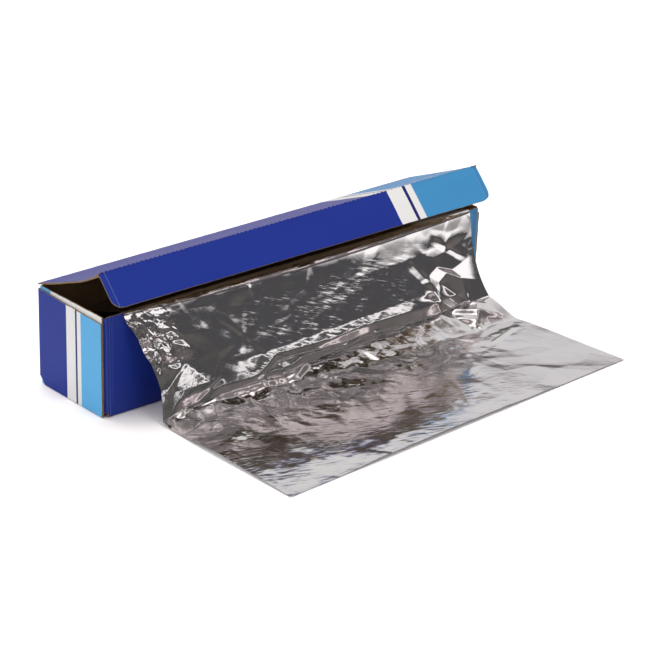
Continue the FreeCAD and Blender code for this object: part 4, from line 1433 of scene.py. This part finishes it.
@dataclass(frozen=True)
class Studio:
    """White sweep, soft boxes and the camera of the photograph."""

    target: Vector = Vector((0.0, 0.0, 0.0))
    camera_place: Vector = Vector((-1.9462, -2.4700, 1.3870))
    azimuth: float = math.radians(39.449)
    elevation: float = math.radians(23.612)
    roll: float = math.radians(0.818)
    sensor: float = 36.0
    lens: float = 36.0 * 3413.6 / 660
    floor_middle: Vector = Vector((0.20, 0.14, -0.0004))
    floor_half: float = 4.0
    clutter: float = 0.16
    clutter_scale: float = 3.2
    room_scale: float = 0.8
    side_blend: float = 0.25

    def camera(self) -> bpy.types.Object:
        """Adds the camera at the photograph's angle."""
        data = bpy.data.cameras.new("camera")
        data.lens, data.sensor_width, data.sensor_height = self.lens, self.sensor, self.sensor
        data.clip_start, data.clip_end = 0.05, 60.0
        back = Vector((-math.sin(self.azimuth) * math.cos(self.elevation),
                       -math.cos(self.azimuth) * math.cos(self.elevation),
                       math.sin(self.elevation)))
        right = (-back).cross(Vector((0, 0, 1))).normalized()
        up = right.cross(-back)
        turned_right = right * math.cos(self.roll) + up * math.sin(self.roll)
        turned_up = up * math.cos(self.roll) - right * math.sin(self.roll)
        columns = Matrix((turned_right, turned_up, back)).transposed()
        camera = link(bpy.data.objects.new("camera", data))
        camera.matrix_world = Matrix.Translation(self.camera_place) @ columns.to_4x4()
        bpy.context.scene.camera = camera
        return camera

    def softbox(self, name: str, place: Vector, size: Pair, power: float,
                tint: Colour = (1, 1, 1)) -> None:
        """Adds a soft box that faces the target.

        Args:
            name: name of the light.
            place: where it stands.
            size: its width and height.
            power: its power in watts.
            tint: colour of its light.
        """
        data = bpy.data.lights.new(name, "AREA")
        data.shape, data.size, data.size_y = "RECTANGLE", size[0], size[1]
        data.energy, data.color = power, tint
        light = link(bpy.data.objects.new(name, data))
        light.location = place
        light.rotation_euler = (place - self.target).to_track_quat("Z", "Y").to_euler()
        light.visible_glossy = False

    def floor(self) -> bpy.types.Object:
        """Adds the pale floor."""
        grid = bmesh.new()
        bmesh.ops.create_grid(grid, x_segments=1, y_segments=1, size=self.floor_half)
        floor = add_mesh("floor", grid, [PaleFloor().make()])
        floor.location = self.floor_middle
        floor.rotation_euler = (0.0, 0.0, -self.azimuth)
        return floor

    def world(self) -> None:
        """Adds the room: dark before the carton, pale behind it and above."""
        world = bpy.data.worlds.new("studio_room")
        world.use_nodes = True
        bpy.context.scene.world = world
        nodes = Nodes(world.node_tree)
        place = nodes.add("TexCoord").outputs["Generated"]
        _, y, z = nodes.add("SeparateXYZ", Vector=place).outputs
        clutter = nodes.noise(place, self.clutter_scale, 3.0)
        height = nodes.times(nodes.line(clutter, self.clutter, z), self.room_scale)
        front, back = (
            nodes.ramp(height, [(self.room_scale * (at + self.clutter / 2), colour)
                                for at, colour in stops]) for stops in (ROOM_FRONT, ROOM_BACK))
        side = nodes.add("MapRange", {"interpolation_type": "SMOOTHSTEP"}, Value=y,
                         From_Min=-self.side_blend, From_Max=self.side_blend)
        room = nodes.blend(side.outputs[0], front, back)
        tinted = nodes.blend(1.0, room, nodes.ramp(clutter, ROOM_TINTS), "MULTIPLY")
        background = nodes.add("Background", Color=tinted)
        nodes.add("OutputWorld", Surface=background.outputs[0])

    def build(self) -> None:
        """Sets up the whole studio."""
        self.floor()
        self.world()
        self.softbox("overhead_box", Vector((0.3, 1.1, 3.0)), (3.4, 2.6), 96.0, (1.0, 0.97, 0.96))
        self.softbox("left_box", Vector((-2.8, -0.6, 1.9)), (2.2, 1.8), 30.0)
        self.softbox("front_box", Vector((0.6, -3.0, 3.0)), (2.4, 1.4), 36.0)
        bpy.context.scene.view_settings.view_transform = "Standard"
        self.camera()


def dress_wound_parts(nodes: dict[str, bpy.types.Object]) -> None:
    """Gives the wound foil, its core and the cutter strip their finishes."""
    for name, finish, slot in (("foil_roll", WoundEdge(), "foil"),
                               ("roll_core", SpiralCard(), "core_card"),
                               ("cutter_strip", Tinplate(), "tinplate")):
        part = nodes[name]
        part.data.materials.clear()
        part.data.materials.append(finish.make())
        LOG.info("%s keeps its shape and gets its finish", name)


def main() -> None:
    """Dresses the frame."""
    logging.basicConfig(level=logging.INFO, format="%(name)s: %(message)s")
    sizes = CartonSizes.from_frame()
    kraft, raw = BareKraft().make(), RawEdge().make()
    band = 116.0 * MM
    # The front and flap prints carry painted highlight and shade lines along their scored creases.
    front = PrintedBoard("front_print", band, score=sizes.half - sizes.front_score)
    flap = PrintedBoard("flap_print", band, score=sizes.half - sizes.flap_score)
    # The top print carries painted shade, and painted glare highlights along its crushed band.
    top = PrintedBoard("top_print", band, glare_band=0.78 * sizes.lid_depth, gloss=0.10)
    ends = PrintedBoard("end_print", 52 * MM, 24 * MM, Ink.PALE_BLUE, gloss=0.15)
    inner = PrintedBoard("inner_print", 34 * MM, 1 * MM, Ink.PALE_BLUE, Ink.WHITE)
    Carton(sizes, kraft, raw).build([front.make(), ends.make(), inner.make()])
    LidPanel(sizes, kraft, raw).build([top.make()])
    FrontFlap(sizes, kraft, raw).build([flap.make()])
    DrawnFoil(sizes, FoilRun()).build(BrightFoil().make())
    dress_wound_parts(frame["nodes"])
    Studio().build()


if __name__ == "__main__":
    main()
